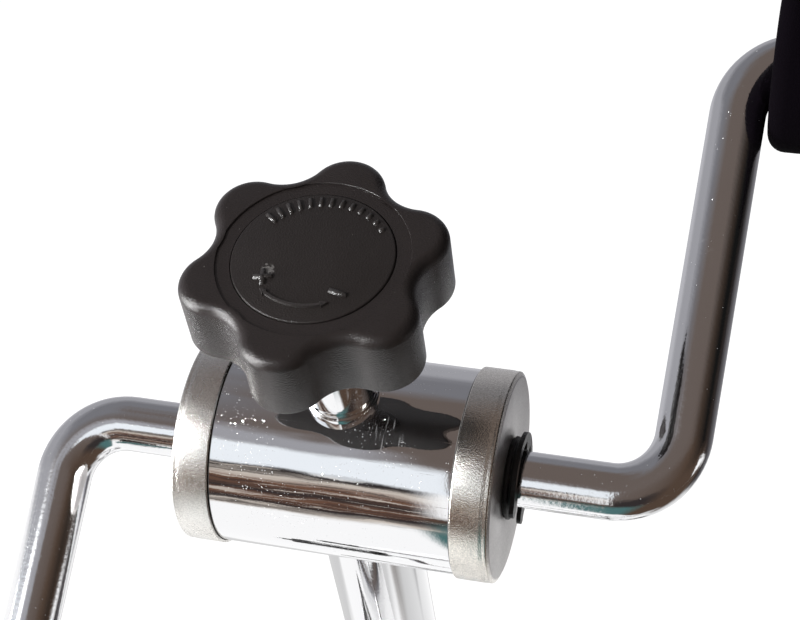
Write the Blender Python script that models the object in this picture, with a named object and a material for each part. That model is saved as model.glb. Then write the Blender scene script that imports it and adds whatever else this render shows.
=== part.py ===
"""Arm and leg crank exerciser: a floor frame, a lower pedal unit and an upper hand-crank unit.

Metres, +Z up. The origin is on the floor under the middle of the base.
X runs along both crank shafts. The user sits on the -Y side.
"""
import bpy
import bmesh
from math import acos, cos, pi, radians, sin, sqrt, tan
from mathutils import Matrix, Vector

MM = 0.001
GAP = 0.3 * MM

# Driving dimensions, upper unit as measured on the photograph
HUB_RADIUS = 25.4 * MM
HUB_WALL = 2.0 * MM
HUB_HALF_LENGTH = 39.4 * MM
CAP_RADIUS = 26.2 * MM
CAP_WIDTH = 9.5 * MM
CAP_FACE = 1.2 * MM
ROD_RADIUS = 7.0 * MM
COLUMN_RADIUS = 12.7 * MM
TUBE_RADIUS = 15.9 * MM
TUBE_WALL = 1.5 * MM
CRANK_LENGTH = 113.0 * MM
CRANK_RIGHT = 79.4 * MM
CRANK_LEFT = 74.6 * MM
BEND_RADIUS = 16.0 * MM
ARM_LEAN = radians(1.7)
UPPER_ARM_ANGLE = radians(63.3)
LOWER_ARM_ANGLE = radians(90.0)
MAST_LEAN = radians(23.77)

# Shaft bearings, distances along the shaft from the hub's middle
SHAFT_BORE = ROD_RADIUS + GAP
BUSH_RADIUS = 9.5 * MM
BUSH_START = 30.0 * MM
BUSH_FLANGE_RADIUS = 10.3 * MM
BUSH_FLANGE = 0.9 * MM
BUSH_NOSE_RADIUS = 8.8 * MM
BUSH_NOSE = 1.6 * MM
CAP_BORE = BUSH_RADIUS + GAP
CAP_ROUNDING = 1.2 * MM
CLIP_START = 41.6 * MM
CLIP_THICK = 1.1 * MM
CLIP_RADIUS = 11.6 * MM
CLIP_INNER = 9.4 * MM
CLIP_MOUTH = 38
CLIP_PRONG = 30

# Brake, heights above the shaft's axis
SLEEVE_RADIUS = 14.0 * MM
SLEEVE_HALF = 18.0 * MM
SLEEVE_SLIT = 1.0 * MM
PAD_RADIUS = 6.5 * MM
PAD_HOLLOW = 15.8 * MM
PAD_TOP = 19.2 * MM
SCREW_RADIUS = 4.0 * MM
SCREW_BORE = SCREW_RADIUS + GAP
SCREW_WAY = 5.0 * MM
SCREW_TIP = 19.5 * MM
HEAD_RADIUS = 8.4 * MM
HEAD_HEIGHT = 3.4 * MM
BOSS_RADIUS = 8.2 * MM
BOSS_FLANGE = 8.9 * MM
BOSS_FLANGE_TOP = 27.6 * MM
BOSS_TOP = 52.0 * MM

# Tension knob, heights above the shaft's axis
KNOB_BOTTOM = 59.4 * MM
KNOB_TOP = 77.2 * MM
KNOB_TURN = radians(25.0)
LOBE_CENTRE = 21.4 * MM
LOBE_RADIUS = 8.9 * MM
VALLEY_RADIUS = 9.8 * MM
KNOB_EDGE = 2.8 * MM
FACE_RING = 21.6 * MM
RING_DEPTH = 0.5 * MM
DISC_RADIUS = 18.2 * MM
DISC_POCKET = 7.0 * MM
NECK_RADIUS = 10.0 * MM
NECK_HEIGHT = 3.0 * MM

# Frame
STABILISER_Y = 0.270
STABILISER_HALF = 0.205
FOOT_RADIUS = 20.0 * MM
TUBE_HEIGHT = 18.0 * MM
FOOT_END = 0.230
LOWER_HUB_Y = -0.040
LOWER_HUB_Z = 0.250
MAST_FOOT_Y = 0.215
UPPER_HUB_Z = 0.900
OUTER_TOP = 0.550
INNER_BOTTOM = 0.360
GUSSET_SIZE = 34.0 * MM
GUSSET_THICK = 3.0 * MM
GUSSET_EDGE = 4.0 * MM
COLLAR_RADIUS = 19.2 * MM

# Height clamp, distances outwards from the mast's axis
CLAMP_AT = 0.500
CLAMP_BOSS_RADIUS = 9.0 * MM
CLAMP_BOSS_END = 28.0 * MM
CLAMP_PAD_RADIUS = 3.8 * MM
CLAMP_PAD_END = 15.5 * MM
CLAMP_SCREW_END = 46.0 * MM
CLAMP_KNOB_START = 32.0 * MM
CLAMP_KNOB_END = 50.0 * MM
CLAMP_KNOB_SCALE = 0.68

# Handles and pedals, distances along the shaft from the hub's middle
FOAM_START = 90.0 * MM
FOAM_END = 206.0 * MM
FOAM_RADIUS = 23.0 * MM
FOAM_EDGE = 4.5 * MM
FOAM_MOUTH_RADIUS = 13.4 * MM
FOAM_MOUTH_DEPTH = 2.6 * MM
GRIP_SLEEVE_START = 99.5 * MM
GRIP_SLEEVE_RADIUS = 9.4 * MM
HANDLE_CAP_RADIUS = 12.0 * MM
HANDLE_CAP_EDGE = 3.0 * MM
HANDLE_END = 212.0 * MM
PEDAL_START = 104.0 * MM
PEDAL_END = 196.0 * MM
PEDAL_HALF_LENGTH = 46.0 * MM
PEDAL_TOP = 9.0 * MM
PEDAL_BOTTOM = -19.0 * MM
PEDAL_CORNER = 10.0 * MM
PEDAL_SLOTS = (-34.0 * MM, -19.0 * MM, 19.0 * MM, 34.0 * MM)
PEDAL_SLOT_HALF = 33.0 * MM
PEDAL_SLOT_WIDTH = 7.0 * MM
PEDAL_NUT_START = 201.5 * MM
PEDAL_NUT_RADIUS = 11.0 * MM
PEG_DROP = 14.2 * MM
PEG_RADIUS = 2.5 * MM
PEG_HEAD = 4.6 * MM
STRAP_HALF_WIDTH = 14.0 * MM
STRAP_DROP = 19.0 * MM
STRAP_THICK = 2.2 * MM
STRAP_SHOULDER = 20.0 * MM
STRAP_RISE = 72.0 * MM
STRAP_SHAFT_HOLE = 8.2 * MM

MAST_LENGTH = (UPPER_HUB_Z - TUBE_HEIGHT) / cos(MAST_LEAN)
UPPER_HUB_Y = MAST_FOOT_Y - MAST_LENGTH * sin(MAST_LEAN)


def clear_scene():
    for obj in list(bpy.data.objects):
        bpy.data.objects.remove(obj, do_unlink=True)


def make_material(name, colour, metallic, roughness):
    material = bpy.data.materials.new(name)
    material.use_nodes = True
    shader = material.node_tree.nodes["Principled BSDF"]
    shader.inputs["Base Color"].default_value = (*colour, 1.0)
    shader.inputs["Metallic"].default_value = metallic
    shader.inputs["Roughness"].default_value = roughness
    return material


FINISHES = {
    "chrome": ((0.80, 0.80, 0.82), 1.0, 0.06),
    "satin": ((0.66, 0.64, 0.62), 1.0, 0.28),
    "steel": ((0.55, 0.55, 0.56), 1.0, 0.35),
    "black": ((0.028, 0.025, 0.024), 0.0, 0.42),
    "foam": ((0.012, 0.011, 0.012), 0.0, 0.90),
    "rubber": ((0.030, 0.030, 0.030), 0.0, 0.75),
    "nylon": ((0.78, 0.76, 0.70), 0.0, 0.45),
}


def empty(name, parent=None, location=(0, 0, 0), rotation=(0, 0, 0)):
    obj = bpy.data.objects.new(name, None)
    bpy.context.scene.collection.objects.link(obj)
    obj.parent = parent
    obj.location = location
    obj.rotation_euler = rotation
    return obj


def add_object(name, solids, finish, parent=None, location=(0, 0, 0), rotation=(0, 0, 0)):
    """One named object from a list of closed (vertices, faces) solids."""
    mesh = bpy.data.meshes.new(name)
    vertices = []
    faces = []
    for points, polygons in solids:
        start = len(vertices)
        vertices.extend(points)
        faces.extend([tuple(start + i for i in polygon) for polygon in polygons])
    mesh.from_pydata(vertices, [], faces)
    work = bmesh.new()
    work.from_mesh(mesh)
    bmesh.ops.recalc_face_normals(work, faces=work.faces)
    work.to_mesh(mesh)
    work.free()
    mesh.shade_smooth()
    mesh.set_sharp_from_angle(angle=radians(32))
    obj = bpy.data.objects.new(name, mesh)
    bpy.context.scene.collection.objects.link(obj)
    obj.parent = parent
    obj.location = location
    obj.rotation_euler = rotation
    if finish:
        colour, metallic, roughness = FINISHES[finish]
        mesh.materials.append(make_material(name, colour, metallic, roughness))
    return obj


def combine(operation, target, tool_name, solids, parent, location=(0, 0, 0)):
    """Adds a live Boolean of the target with the solids."""
    tool = add_object(tool_name, solids, None, parent, location)
    tool.hide_render = True
    tool.display_type = "WIRE"
    modifier = target.modifiers.new(tool_name, "BOOLEAN")
    modifier.operation = operation
    modifier.solver = "EXACT"
    modifier.object = tool


def cut(target, tool_name, solids, parent=None, location=(0, 0, 0)):
    combine("DIFFERENCE", target, tool_name, solids, parent, location)


def weld(target, tool_name, solids, parent=None, location=(0, 0, 0)):
    combine("UNION", target, tool_name, solids, parent, location)


def place(solid, matrix):
    points, faces = solid
    return [matrix @ Vector(point) for point in points], faces


AXIS_X = Matrix.Rotation(pi / 2, 4, "Y")
AXIS_Y = Matrix.Rotation(-pi / 2, 4, "X")
HALF_TURN = Matrix.Rotation(pi, 4, "Z")
SIDES = (("right", AXIS_X), ("left", HALF_TURN @ AXIS_X))
ENDS = (("front", AXIS_Y, 1), ("rear", HALF_TURN @ AXIS_Y, -1))


def lofted(rings, closed):
    """Skins equal rings of points. Closed joins the last ring to the first, otherwise ends are capped."""
    count = len(rings[0])
    points = [point for ring in rings for point in ring]
    faces = []
    last = len(rings) if closed else len(rings) - 1
    for i in range(last):
        a = i * count
        b = ((i + 1) % len(rings)) * count
        for j in range(count):
            k = (j + 1) % count
            faces.append((a + j, a + k, b + k, b + j))
    if not closed:
        faces.append(tuple(range(count)))
        faces.append(tuple(range(len(points) - count, len(points))))
    return points, faces


def circle(radius, height, sides):
    steps = [2 * pi * i / sides for i in range(sides)]
    return [(radius * cos(a), radius * sin(a), height) for a in steps]


def turned_ring(profile, sides):
    """A hollow turned solid about Z from a closed outline of (radius, height) points."""
    return lofted([circle(radius, height, sides) for radius, height in profile], True)


def turned_solid(profile, sides):
    """A turned solid about Z with flat ends, from bottom to top."""
    return lofted([circle(radius, height, sides) for radius, height in profile], False)


def pipe(outer, inner, low, high, sides):
    return turned_ring([(outer, low), (outer, high), (inner, high), (inner, low)], sides)


def cylinder(radius, low, high, sides):
    return turned_solid([(radius, low), (radius, high)], sides)


def quarter(centre_r, centre_h, radius, start, end, steps):
    """Points of a rounded edge in an outline of (radius, height) points, angles in degrees."""
    points = []
    for i in range(steps + 1):
        a = radians(start + (end - start) * i / steps)
        points.append((centre_r + radius * cos(a), centre_h + radius * sin(a)))
    return points


def prism(outline, low, high):
    """An outline in XY pushed along Z."""
    return lofted([[(x, y, z) for x, y in outline] for z in (low, high)], False)


def box(low, high):
    outline = [(low[0], low[1]), (high[0], low[1]), (high[0], high[1]), (low[0], high[1])]
    return prism(outline, low[2], high[2])


def rounded_rectangle(half_x, half_y, radius, steps):
    points = []
    for sx, sy, start in ((1, 1, 0), (-1, 1, 90), (-1, -1, 180), (1, -1, 270)):
        points += quarter(sx * (half_x - radius), sy * (half_y - radius), radius, start, start + 90, steps)
    return points


def bent_path(corners, radius, steps):
    """A centre line through the corners, each inner corner rounded by an arc."""
    path = [Vector(corners[0])]
    for before, corner, after in zip(corners, corners[1:], corners[2:]):
        corner = Vector(corner)
        back = (Vector(before) - corner).normalized()
        ahead = (Vector(after) - corner).normalized()
        angle = acos(back.dot(ahead))
        centre = corner + (back + ahead).normalized() * radius / sin(angle / 2)
        start = corner + back * radius / tan(angle / 2) - centre
        end = corner + ahead * radius / tan(angle / 2) - centre
        sweep = pi - angle
        for i in range(steps + 1):
            t = sweep * i / steps
            path.append(centre + (start * sin(sweep - t) + end * sin(t)) / sin(sweep))
    path.append(Vector(corners[-1]))
    return path


def rod(path, radius, sides):
    """A round bar along a path in the XZ plane."""
    side = Vector((0, 1, 0))
    rings = []
    for i, point in enumerate(path):
        before = path[max(i - 1, 0)]
        after = path[min(i + 1, len(path) - 1)]
        across = side.cross((after - before).normalized())
        steps = [2 * pi * j / sides for j in range(sides)]
        rings.append([point + radius * (cos(a) * across + sin(a) * side) for a in steps])
    return lofted(rings, False)


def lobe_outline(centre, lobe, valley, count, steps, inset):
    """Star-knob outline of convex arcs and hollow arcs that meet without a corner."""
    half = pi / count
    reach = centre * cos(half)
    hollow = reach + sqrt(reach ** 2 - centre ** 2 + (lobe + valley) ** 2)
    hollow_point = Vector((hollow * cos(half), hollow * sin(half)))
    lobe_point = Vector((centre, 0))
    join = hollow_point - lobe_point
    lobe_end = join.angle_signed(Vector((1, 0)))
    hollow_half = lobe_end - half
    outline = []
    for k in range(count):
        turn = Matrix.Rotation(2 * half * k, 2)
        for i in range(2 * steps):
            a = -lobe_end + lobe_end * i / steps
            outline.append(turn @ (lobe_point + (lobe - inset) * Vector((cos(a), sin(a)))))
        for i in range(2 * steps):
            a = pi + half + hollow_half - hollow_half * i / steps
            outline.append(turn @ (hollow_point + (valley + inset) * Vector((cos(a), sin(a)))))
    return outline


def knob_rings(scale, levels, steps):
    """Rings of a star knob. A level is (None or inset, radius, height)."""
    size = (LOBE_CENTRE * scale, LOBE_RADIUS * scale, VALLEY_RADIUS * scale)
    base = lobe_outline(*size, 6, steps, 0.0)
    rings = []
    for inset, radius, height in levels:
        if inset is None:
            flat = [radius * point.normalized() for point in base]
        else:
            flat = lobe_outline(*size, 6, steps, inset)
        rings.append([(point.x, point.y, height) for point in flat])
    return rings


def tension_knob(steps):
    """Knob body: lobed rim, ring groove, pocket for the face disc, and a short neck below."""
    pocket = DISC_RADIUS + GAP
    floor = KNOB_TOP - DISC_POCKET
    ring_floor = KNOB_TOP - RING_DEPTH
    neck = KNOB_BOTTOM - NECK_HEIGHT
    seat = floor - HEAD_HEIGHT - 2 * GAP
    head_pocket = HEAD_RADIUS + GAP
    levels = [
        (None, SCREW_BORE, neck),
        (None, NECK_RADIUS, neck),
        (None, NECK_RADIUS, KNOB_BOTTOM),
        (0.8 * MM, 0, KNOB_BOTTOM),
        (0.0, 0, KNOB_BOTTOM + 0.8 * MM),
        (0.0, 0, KNOB_TOP - KNOB_EDGE),
        (0.3 * KNOB_EDGE, 0, KNOB_TOP - 0.3 * KNOB_EDGE),
        (KNOB_EDGE, 0, KNOB_TOP),
        (None, FACE_RING, KNOB_TOP),
        (None, FACE_RING, ring_floor),
        (None, pocket, ring_floor),
        (None, pocket, floor),
        (None, head_pocket, floor),
        (None, head_pocket, seat),
        (None, SCREW_BORE, seat),
    ]
    return lofted(knob_rings(1.0, levels, steps), True)


def hub_unit(prefix, parent, arm_angle, sides, knob_steps, bend_steps):
    """Hub tube, caps, bushes, boss, brake sleeve, feed pad, screw, knob and crank of one unit.

    The parent empty sits at the hub's middle with its Z along the knob's axis.
    """
    tube_half = HUB_HALF_LENGTH - CAP_FACE - GAP
    tube = place(pipe(HUB_RADIUS, HUB_RADIUS - HUB_WALL, -tube_half, tube_half, sides), AXIS_X)
    shell = add_object(prefix + "_hub_shell", [tube], "chrome", parent)
    screw_way = cylinder(SCREW_WAY, SLEEVE_RADIUS, 2 * HUB_RADIUS, 20)
    cut(shell, prefix + "_screw_way", [screw_way], parent)

    rounding = CAP_RADIUS - CAP_ROUNDING
    skirt = HUB_RADIUS + 0.25 * MM
    cap_profile = [(CAP_BORE, HUB_HALF_LENGTH), (rounding, HUB_HALF_LENGTH)]
    cap_profile += quarter(rounding, HUB_HALF_LENGTH - CAP_ROUNDING, CAP_ROUNDING, 45, 0, 1)
    cap_profile += [
        (CAP_RADIUS, HUB_HALF_LENGTH - CAP_WIDTH),
        (skirt, HUB_HALF_LENGTH - CAP_WIDTH),
        (skirt, HUB_HALF_LENGTH - CAP_FACE),
        (CAP_BORE, HUB_HALF_LENGTH - CAP_FACE),
    ]
    face = HUB_HALF_LENGTH + GAP
    bush_profile = [
        (SHAFT_BORE, BUSH_START), (BUSH_RADIUS, BUSH_START), (BUSH_RADIUS, face),
        (BUSH_FLANGE_RADIUS, face), (BUSH_FLANGE_RADIUS, face + BUSH_FLANGE),
        (BUSH_NOSE_RADIUS, face + BUSH_FLANGE), (BUSH_NOSE_RADIUS, face + BUSH_NOSE),
        (SHAFT_BORE, face + BUSH_NOSE),
    ]
    for side, flip in SIDES:
        cap = place(turned_ring(cap_profile, sides), flip)
        add_object(prefix + "_hub_cap_" + side, [cap], "satin", parent)
        bush = place(turned_ring(bush_profile, 16), flip)
        add_object(prefix + "_bush_" + side, [bush], "black", parent)

    boss_profile = [
        (SCREW_BORE, 0.8 * HUB_RADIUS), (BOSS_FLANGE, 0.8 * HUB_RADIUS), (BOSS_FLANGE, BOSS_FLANGE_TOP),
        (BOSS_RADIUS, BOSS_FLANGE_TOP + 0.4 * MM), (BOSS_RADIUS + 0.4 * MM, BOSS_FLANGE_TOP + 1.0 * MM),
        (BOSS_RADIUS, BOSS_FLANGE_TOP + 1.8 * MM), (BOSS_RADIUS, BOSS_TOP - 1.0 * MM),
        (BOSS_RADIUS - 0.8 * MM, BOSS_TOP), (SCREW_BORE, BOSS_TOP),
    ]
    boss = add_object(prefix + "_tension_boss", [turned_ring(boss_profile, 18)], "chrome", parent)
    saddle = place(cylinder(HUB_RADIUS + GAP, -2 * BOSS_RADIUS, 2 * BOSS_RADIUS, sides), AXIS_X)
    cut(boss, prefix + "_boss_saddle", [saddle], parent)

    sleeve = place(pipe(SLEEVE_RADIUS, SHAFT_BORE, -SLEEVE_HALF, SLEEVE_HALF, 20), AXIS_X)
    sleeve = add_object(prefix + "_brake_sleeve", [sleeve], "nylon", parent)
    slit = box((-HUB_RADIUS, -SLEEVE_SLIT, -HUB_RADIUS), (HUB_RADIUS, SLEEVE_SLIT, -2 * SLEEVE_SLIT))
    cut(sleeve, prefix + "_sleeve_slit", [slit], parent)

    feed = empty(prefix + "_feed", parent)
    pad = cylinder(PAD_RADIUS, ROD_RADIUS, PAD_TOP, 20)
    pad = add_object(prefix + "_pressure_pad", [pad], "steel", feed)
    pad_saddle = place(cylinder(PAD_HOLLOW, -2 * PAD_RADIUS, 2 * PAD_RADIUS, 28), AXIS_X)
    cut(pad, prefix + "_pad_saddle", [pad_saddle], feed)

    turn = empty(prefix + "_knob_axis", feed)
    head_top = KNOB_TOP - DISC_POCKET - GAP
    head_bottom = head_top - HEAD_HEIGHT
    screw_profile = [
        (SCREW_RADIUS - 0.6 * MM, SCREW_TIP), (SCREW_RADIUS, SCREW_TIP + 0.7 * MM), (SCREW_RADIUS, head_bottom),
        (HEAD_RADIUS, head_bottom), (HEAD_RADIUS, head_top),
    ]
    add_object(prefix + "_tension_screw", [turned_solid(screw_profile, 14)], "steel", turn)
    knob = tension_knob(knob_steps)
    add_object(prefix + "_tension_knob", [knob], "black", turn, (0, 0, 0), (0, 0, KNOB_TURN))
    disc_profile = [
        (DISC_RADIUS, KNOB_TOP - DISC_POCKET + GAP), (DISC_RADIUS, KNOB_TOP - 0.5 * MM),
        (DISC_RADIUS - 0.3 * MM, KNOB_TOP - 0.1 * MM),
    ]
    add_object(prefix + "_knob_disc", [turned_solid(disc_profile, 28)], "black", turn)

    crank = empty(prefix + "_crank_axis", parent, (0, 0, 0), (-arm_angle, 0, 0))
    reach = sin(ARM_LEAN) * CRANK_LENGTH
    rise = cos(ARM_LEAN) * CRANK_LENGTH
    corners = [
        (-HANDLE_END, 0, -rise), (-CRANK_LEFT - reach, 0, -rise), (-CRANK_LEFT, 0, 0),
        (CRANK_RIGHT, 0, 0), (CRANK_RIGHT + reach, 0, rise), (HANDLE_END, 0, rise),
    ]
    bar = rod(bent_path(corners, BEND_RADIUS, bend_steps), ROD_RADIUS, 14)
    add_object(prefix + "_crank", [bar], "chrome", crank)
    clip = prism(retaining_clip_outline(), CLIP_START, CLIP_START + CLIP_THICK)
    for side, flip in SIDES:
        add_object(prefix + "_clip_" + side, [place(clip, flip)], "black", crank)
    return crank, rise


def retaining_clip_outline():
    """Open ring with a wide mouth and three prongs that reach in to the shaft's groove. Angles in degrees."""

    def arc(radius, first, last, steps):
        turns = [radians(first + (last - first) * i / steps) for i in range(steps + 1)]
        return [(radius * cos(a), radius * sin(a)) for a in turns]

    far = 360 - CLIP_MOUTH
    half = CLIP_PRONG / 2
    outline = arc(CLIP_RADIUS, CLIP_MOUTH, far, 18)
    outline += arc(SHAFT_BORE, far, far - CLIP_PRONG, 2) + arc(CLIP_INNER, far - CLIP_PRONG, 180 + half, 5)
    outline += arc(SHAFT_BORE, 180 + half, 180 - half, 2)
    outline += arc(CLIP_INNER, 180 - half, CLIP_MOUTH + CLIP_PRONG, 5)
    return outline + arc(SHAFT_BORE, CLIP_MOUTH + CLIP_PRONG, CLIP_MOUTH, 2)


def handles(crank, rise):
    """Foam grips that spin on the upper crank's ends."""
    bore = GRIP_SLEEVE_RADIUS + 0.4 * MM
    outline = [(bore, FOAM_START + FOAM_MOUTH_DEPTH), (FOAM_MOUTH_RADIUS, FOAM_START)]
    outline += quarter(FOAM_RADIUS - FOAM_EDGE, FOAM_START + FOAM_EDGE, FOAM_EDGE, -90, 0, 2)
    outline += quarter(FOAM_RADIUS - FOAM_EDGE, FOAM_END - FOAM_EDGE, FOAM_EDGE, 0, 90, 2)
    outline += [(bore, FOAM_END)]
    sleeve = pipe(GRIP_SLEEVE_RADIUS, SHAFT_BORE, GRIP_SLEEVE_START, FOAM_END - 0.5 * MM, 20)
    start = FOAM_END + 2 * GAP
    cap_outline = [
        (HANDLE_CAP_RADIUS, start), (HANDLE_CAP_RADIUS, HANDLE_END),
        (HANDLE_CAP_RADIUS - HANDLE_CAP_EDGE, HANDLE_END + HANDLE_CAP_EDGE),
    ]
    for side, flip in SIDES:
        sign = 1 if side == "right" else -1
        axis = empty("grip_axis_" + side, crank, (0, 0, sign * rise))
        add_object("foam_grip_" + side, [place(turned_ring(outline, 24), flip)], "foam", axis)
        add_object("grip_sleeve_" + side, [place(sleeve, flip)], "black", axis)
        dome = end_cap(cap_outline, SHAFT_BORE, start, HANDLE_END + GAP)
        add_object("handle_cap_" + side, [place(dome, flip)], "black", crank, (0, 0, sign * rise))


def end_cap(outline, bore, start, floor):
    """Blind cap: a turned outside with a blind bore, capped at both middles."""
    rings = [circle(bore, floor, 14), circle(bore, start, 14)]
    rings += [circle(radius, height, 14) for radius, height in outline]
    return lofted(rings, False)


def pedals(crank, rise):
    """Foot pedals with arched straps that spin on the lower crank's ends, level at rest."""
    middle = (PEDAL_START + PEDAL_END) / 2
    half = (PEDAL_END - PEDAL_START) / 2
    deep = 60 * MM
    slot = rounded_rectangle(PEDAL_SLOT_HALF, PEDAL_SLOT_WIDTH / 2, 3.0 * MM, 1)
    washer = STRAP_THICK + 0.7 * MM
    peg = turned_solid([(PEG_RADIUS, -1.0 * MM), (PEG_RADIUS, washer), (PEG_HEAD, washer),
                        (PEG_HEAD - 1.0 * MM, washer + 1.5 * MM)], 8)
    start = PEDAL_NUT_START
    nut_outline = [(PEDAL_NUT_RADIUS, start), (PEDAL_NUT_RADIUS, start + 8 * MM),
                   (PEDAL_NUT_RADIUS - 3 * MM, start + 13 * MM)]
    for side, flip in SIDES:
        sign = 1 if side == "right" else -1
        axis = empty("pedal_axis_" + side, crank, (0, 0, sign * rise), (LOWER_ARM_ANGLE, 0, 0))
        shift = Matrix.Translation((sign * middle, 0, 0))
        body = prism(rounded_rectangle(half, PEDAL_HALF_LENGTH, PEDAL_CORNER, 2), PEDAL_BOTTOM, PEDAL_TOP)
        pedal = add_object("pedal_" + side, [place(body, shift)], "black", axis)
        strap = add_object("pedal_strap_" + side, [place(strap_solid(half), shift)], "rubber", axis)
        pegs = []
        holes = []
        for _, out in SIDES:
            way = shift @ out @ Matrix.Translation((PEG_DROP, 0, half))
            pegs.append(place(peg, way))
            holes.append(place(cylinder(PEG_RADIUS + GAP, -0.1 * MM, 8 * MM, 8), way))
        weld(pedal, "pedal_pegs_" + side, pegs, axis)
        openings = [place(cylinder(SHAFT_BORE, -deep, deep, 20), shift @ AXIS_X)]
        for y in PEDAL_SLOTS:
            openings.append(place(prism(slot, -deep, deep), shift @ Matrix.Translation((0, y, 0))))
        cut(pedal, "pedal_openings_" + side, openings, axis)
        holes.append(place(cylinder(STRAP_SHAFT_HOLE, -deep, deep, 16), shift @ AXIS_X))
        cut(strap, "strap_holes_" + side, holes, axis)
        nut = place(end_cap(nut_outline, SHAFT_BORE, start, HANDLE_END + GAP), flip)
        add_object("pedal_nut_" + side, [nut], "steel", crank, (0, 0, sign * rise))


def strap_solid(half):
    """A flat band that arches from one side of the pedal to the other."""
    leg = half + GAP + STRAP_THICK / 2
    path = [(-leg, -STRAP_DROP)]
    arch_steps = 12
    for i in range(arch_steps + 1):
        a = pi - pi * i / arch_steps
        path.append((leg * cos(a), STRAP_SHOULDER + (STRAP_RISE - STRAP_SHOULDER) * sin(a)))
    path.append((leg, -STRAP_DROP))
    rings = []
    for i, (x, z) in enumerate(path):
        before = path[max(i - 1, 0)]
        after = path[min(i + 1, len(path) - 1)]
        along = Vector((after[0] - before[0], 0, after[1] - before[1])).normalized()
        out = Vector((-along.z, 0, along.x)) * STRAP_THICK / 2
        centre = Vector((x, 0, z))
        wide = Vector((0, STRAP_HALF_WIDTH, 0))
        rings.append([centre - out - wide, centre + out - wide, centre + out + wide, centre - out + wide])
    return lofted(rings, False)


def frame():
    """Base, pedal post, mast with its height clamp."""
    inner = TUBE_RADIUS - TUBE_WALL
    sides = 24
    deep = 60 * MM
    for name, _, sign in ENDS:
        y = sign * STABILISER_Y
        tube = place(pipe(TUBE_RADIUS, inner, -STABILISER_HALF, STABILISER_HALF, sides), AXIS_X)
        bar = add_object(name + "_stabiliser", [tube], "chrome", None, (0, y, TUBE_HEIGHT))
        cut(bar, name + "_bolt_way", [place(cylinder(SCREW_BORE, -deep, deep, 12), AXIS_Y)], bar)
        for side, flip in SIDES:
            add_object(f"{name}_foot_{side}", [foot_solid(flip)], "rubber", None, (0, y, TUBE_HEIGHT))

    rail_half = STABILISER_Y - 5 * MM
    tube = place(pipe(TUBE_RADIUS, inner, -rail_half, rail_half, sides), AXIS_Y)
    rail = add_object("base_rail", [tube], "chrome", None, (0, 0, TUBE_HEIGHT))
    saddles = []
    for y in (-STABILISER_Y, STABILISER_Y):
        saddle = place(cylinder(TUBE_RADIUS + GAP, -deep, deep, sides), AXIS_X)
        saddles.append(place(saddle, Matrix.Translation((0, y, 0))))
    cut(rail, "rail_saddles", saddles, rail)

    face = STABILISER_Y - TUBE_RADIUS - GAP
    head = STABILISER_Y + TUBE_RADIUS + GAP
    plate_radius = inner + 0.5 * MM
    plate = pipe(plate_radius, SCREW_BORE, face - 4 * MM, face - 1 * MM, 16)
    bolt = turned_solid([
        (SCREW_RADIUS, face - 10 * MM), (SCREW_RADIUS, head), (2 * SCREW_RADIUS, head),
        (1.85 * SCREW_RADIUS, head + 2.8 * MM), (1.15 * SCREW_RADIUS, head + 4.8 * MM)], 16)
    weld(rail, "rail_end_plates", [place(plate, flip) for _, flip, _ in ENDS], rail)
    for name, flip, _ in ENDS:
        add_object(name + "_bolt", [place(bolt, flip)], "chrome", None, (0, 0, TUBE_HEIGHT))

    lower = empty("lower_hub_frame", None, (0, LOWER_HUB_Y, LOWER_HUB_Z))
    drop = LOWER_HUB_Z - TUBE_HEIGHT
    post = pipe(COLUMN_RADIUS, COLUMN_RADIUS - TUBE_WALL, -drop, -HUB_RADIUS / 2, 24)
    post = add_object("pedal_post", [post], "chrome", lower)
    rail_cut = place(cylinder(TUBE_RADIUS + GAP, -deep, deep, sides), AXIS_Y)
    hub_cut = place(cylinder(HUB_RADIUS + GAP, -deep, deep, 24), AXIS_X)
    cut(post, "post_saddles", [place(rail_cut, Matrix.Translation((0, 0, -drop))), hub_cut], lower)

    mast = empty("mast_frame", None, (0, MAST_FOOT_Y, TUBE_HEIGHT), (MAST_LEAN, 0, 0))
    outer = add_object("mast_outer", [pipe(TUBE_RADIUS, inner, 0, OUTER_TOP, sides)], "chrome", mast)
    up_mast = Matrix.Translation((0, 0, CLAMP_AT))
    clamp_way = place(cylinder(SCREW_BORE, 5 * MM, 30 * MM, 16), up_mast @ AXIS_Y)
    cut(outer, "mast_clamp_way", [clamp_way], mast)
    saddle = place(cylinder(TUBE_RADIUS + GAP, -deep, deep, sides), AXIS_Y)
    cut(outer, "mast_saddle", [saddle], None, (0, MAST_FOOT_Y, TUBE_HEIGHT))

    lip = OUTER_TOP + GAP
    low = OUTER_TOP - 22 * MM
    throat = OUTER_TOP - 15 * MM
    collar = turned_ring([
        (TUBE_RADIUS + GAP, low), (COLLAR_RADIUS, low), (COLLAR_RADIUS, lip + 3 * MM),
        (COLLAR_RADIUS - 1.7 * MM, lip + 5 * MM), (COLUMN_RADIUS + GAP, lip + 5 * MM),
        (COLUMN_RADIUS + GAP, throat), (inner - GAP, throat), (inner - GAP, lip),
        (TUBE_RADIUS + GAP, lip)], sides)
    add_object("mast_collar", [collar], "black", mast)

    boss = place(pipe(CLAMP_BOSS_RADIUS, SCREW_BORE, 10 * MM, CLAMP_BOSS_END, 20), up_mast @ AXIS_Y)
    boss = add_object("clamp_boss", [boss], "chrome", mast)
    cut(boss, "clamp_boss_saddle", [cylinder(TUBE_RADIUS + GAP, CLAMP_AT - deep, CLAMP_AT + deep, sides)], mast)
    clamp_knob(mast)

    add_object("post_gusset", [gusset(LOWER_HUB_Y, COLUMN_RADIUS, 0.0, 1)], "chrome")
    add_object("mast_gusset", [gusset(MAST_FOOT_Y, TUBE_RADIUS, MAST_LEAN, -1)], "chrome")
    return lower, mast


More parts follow.
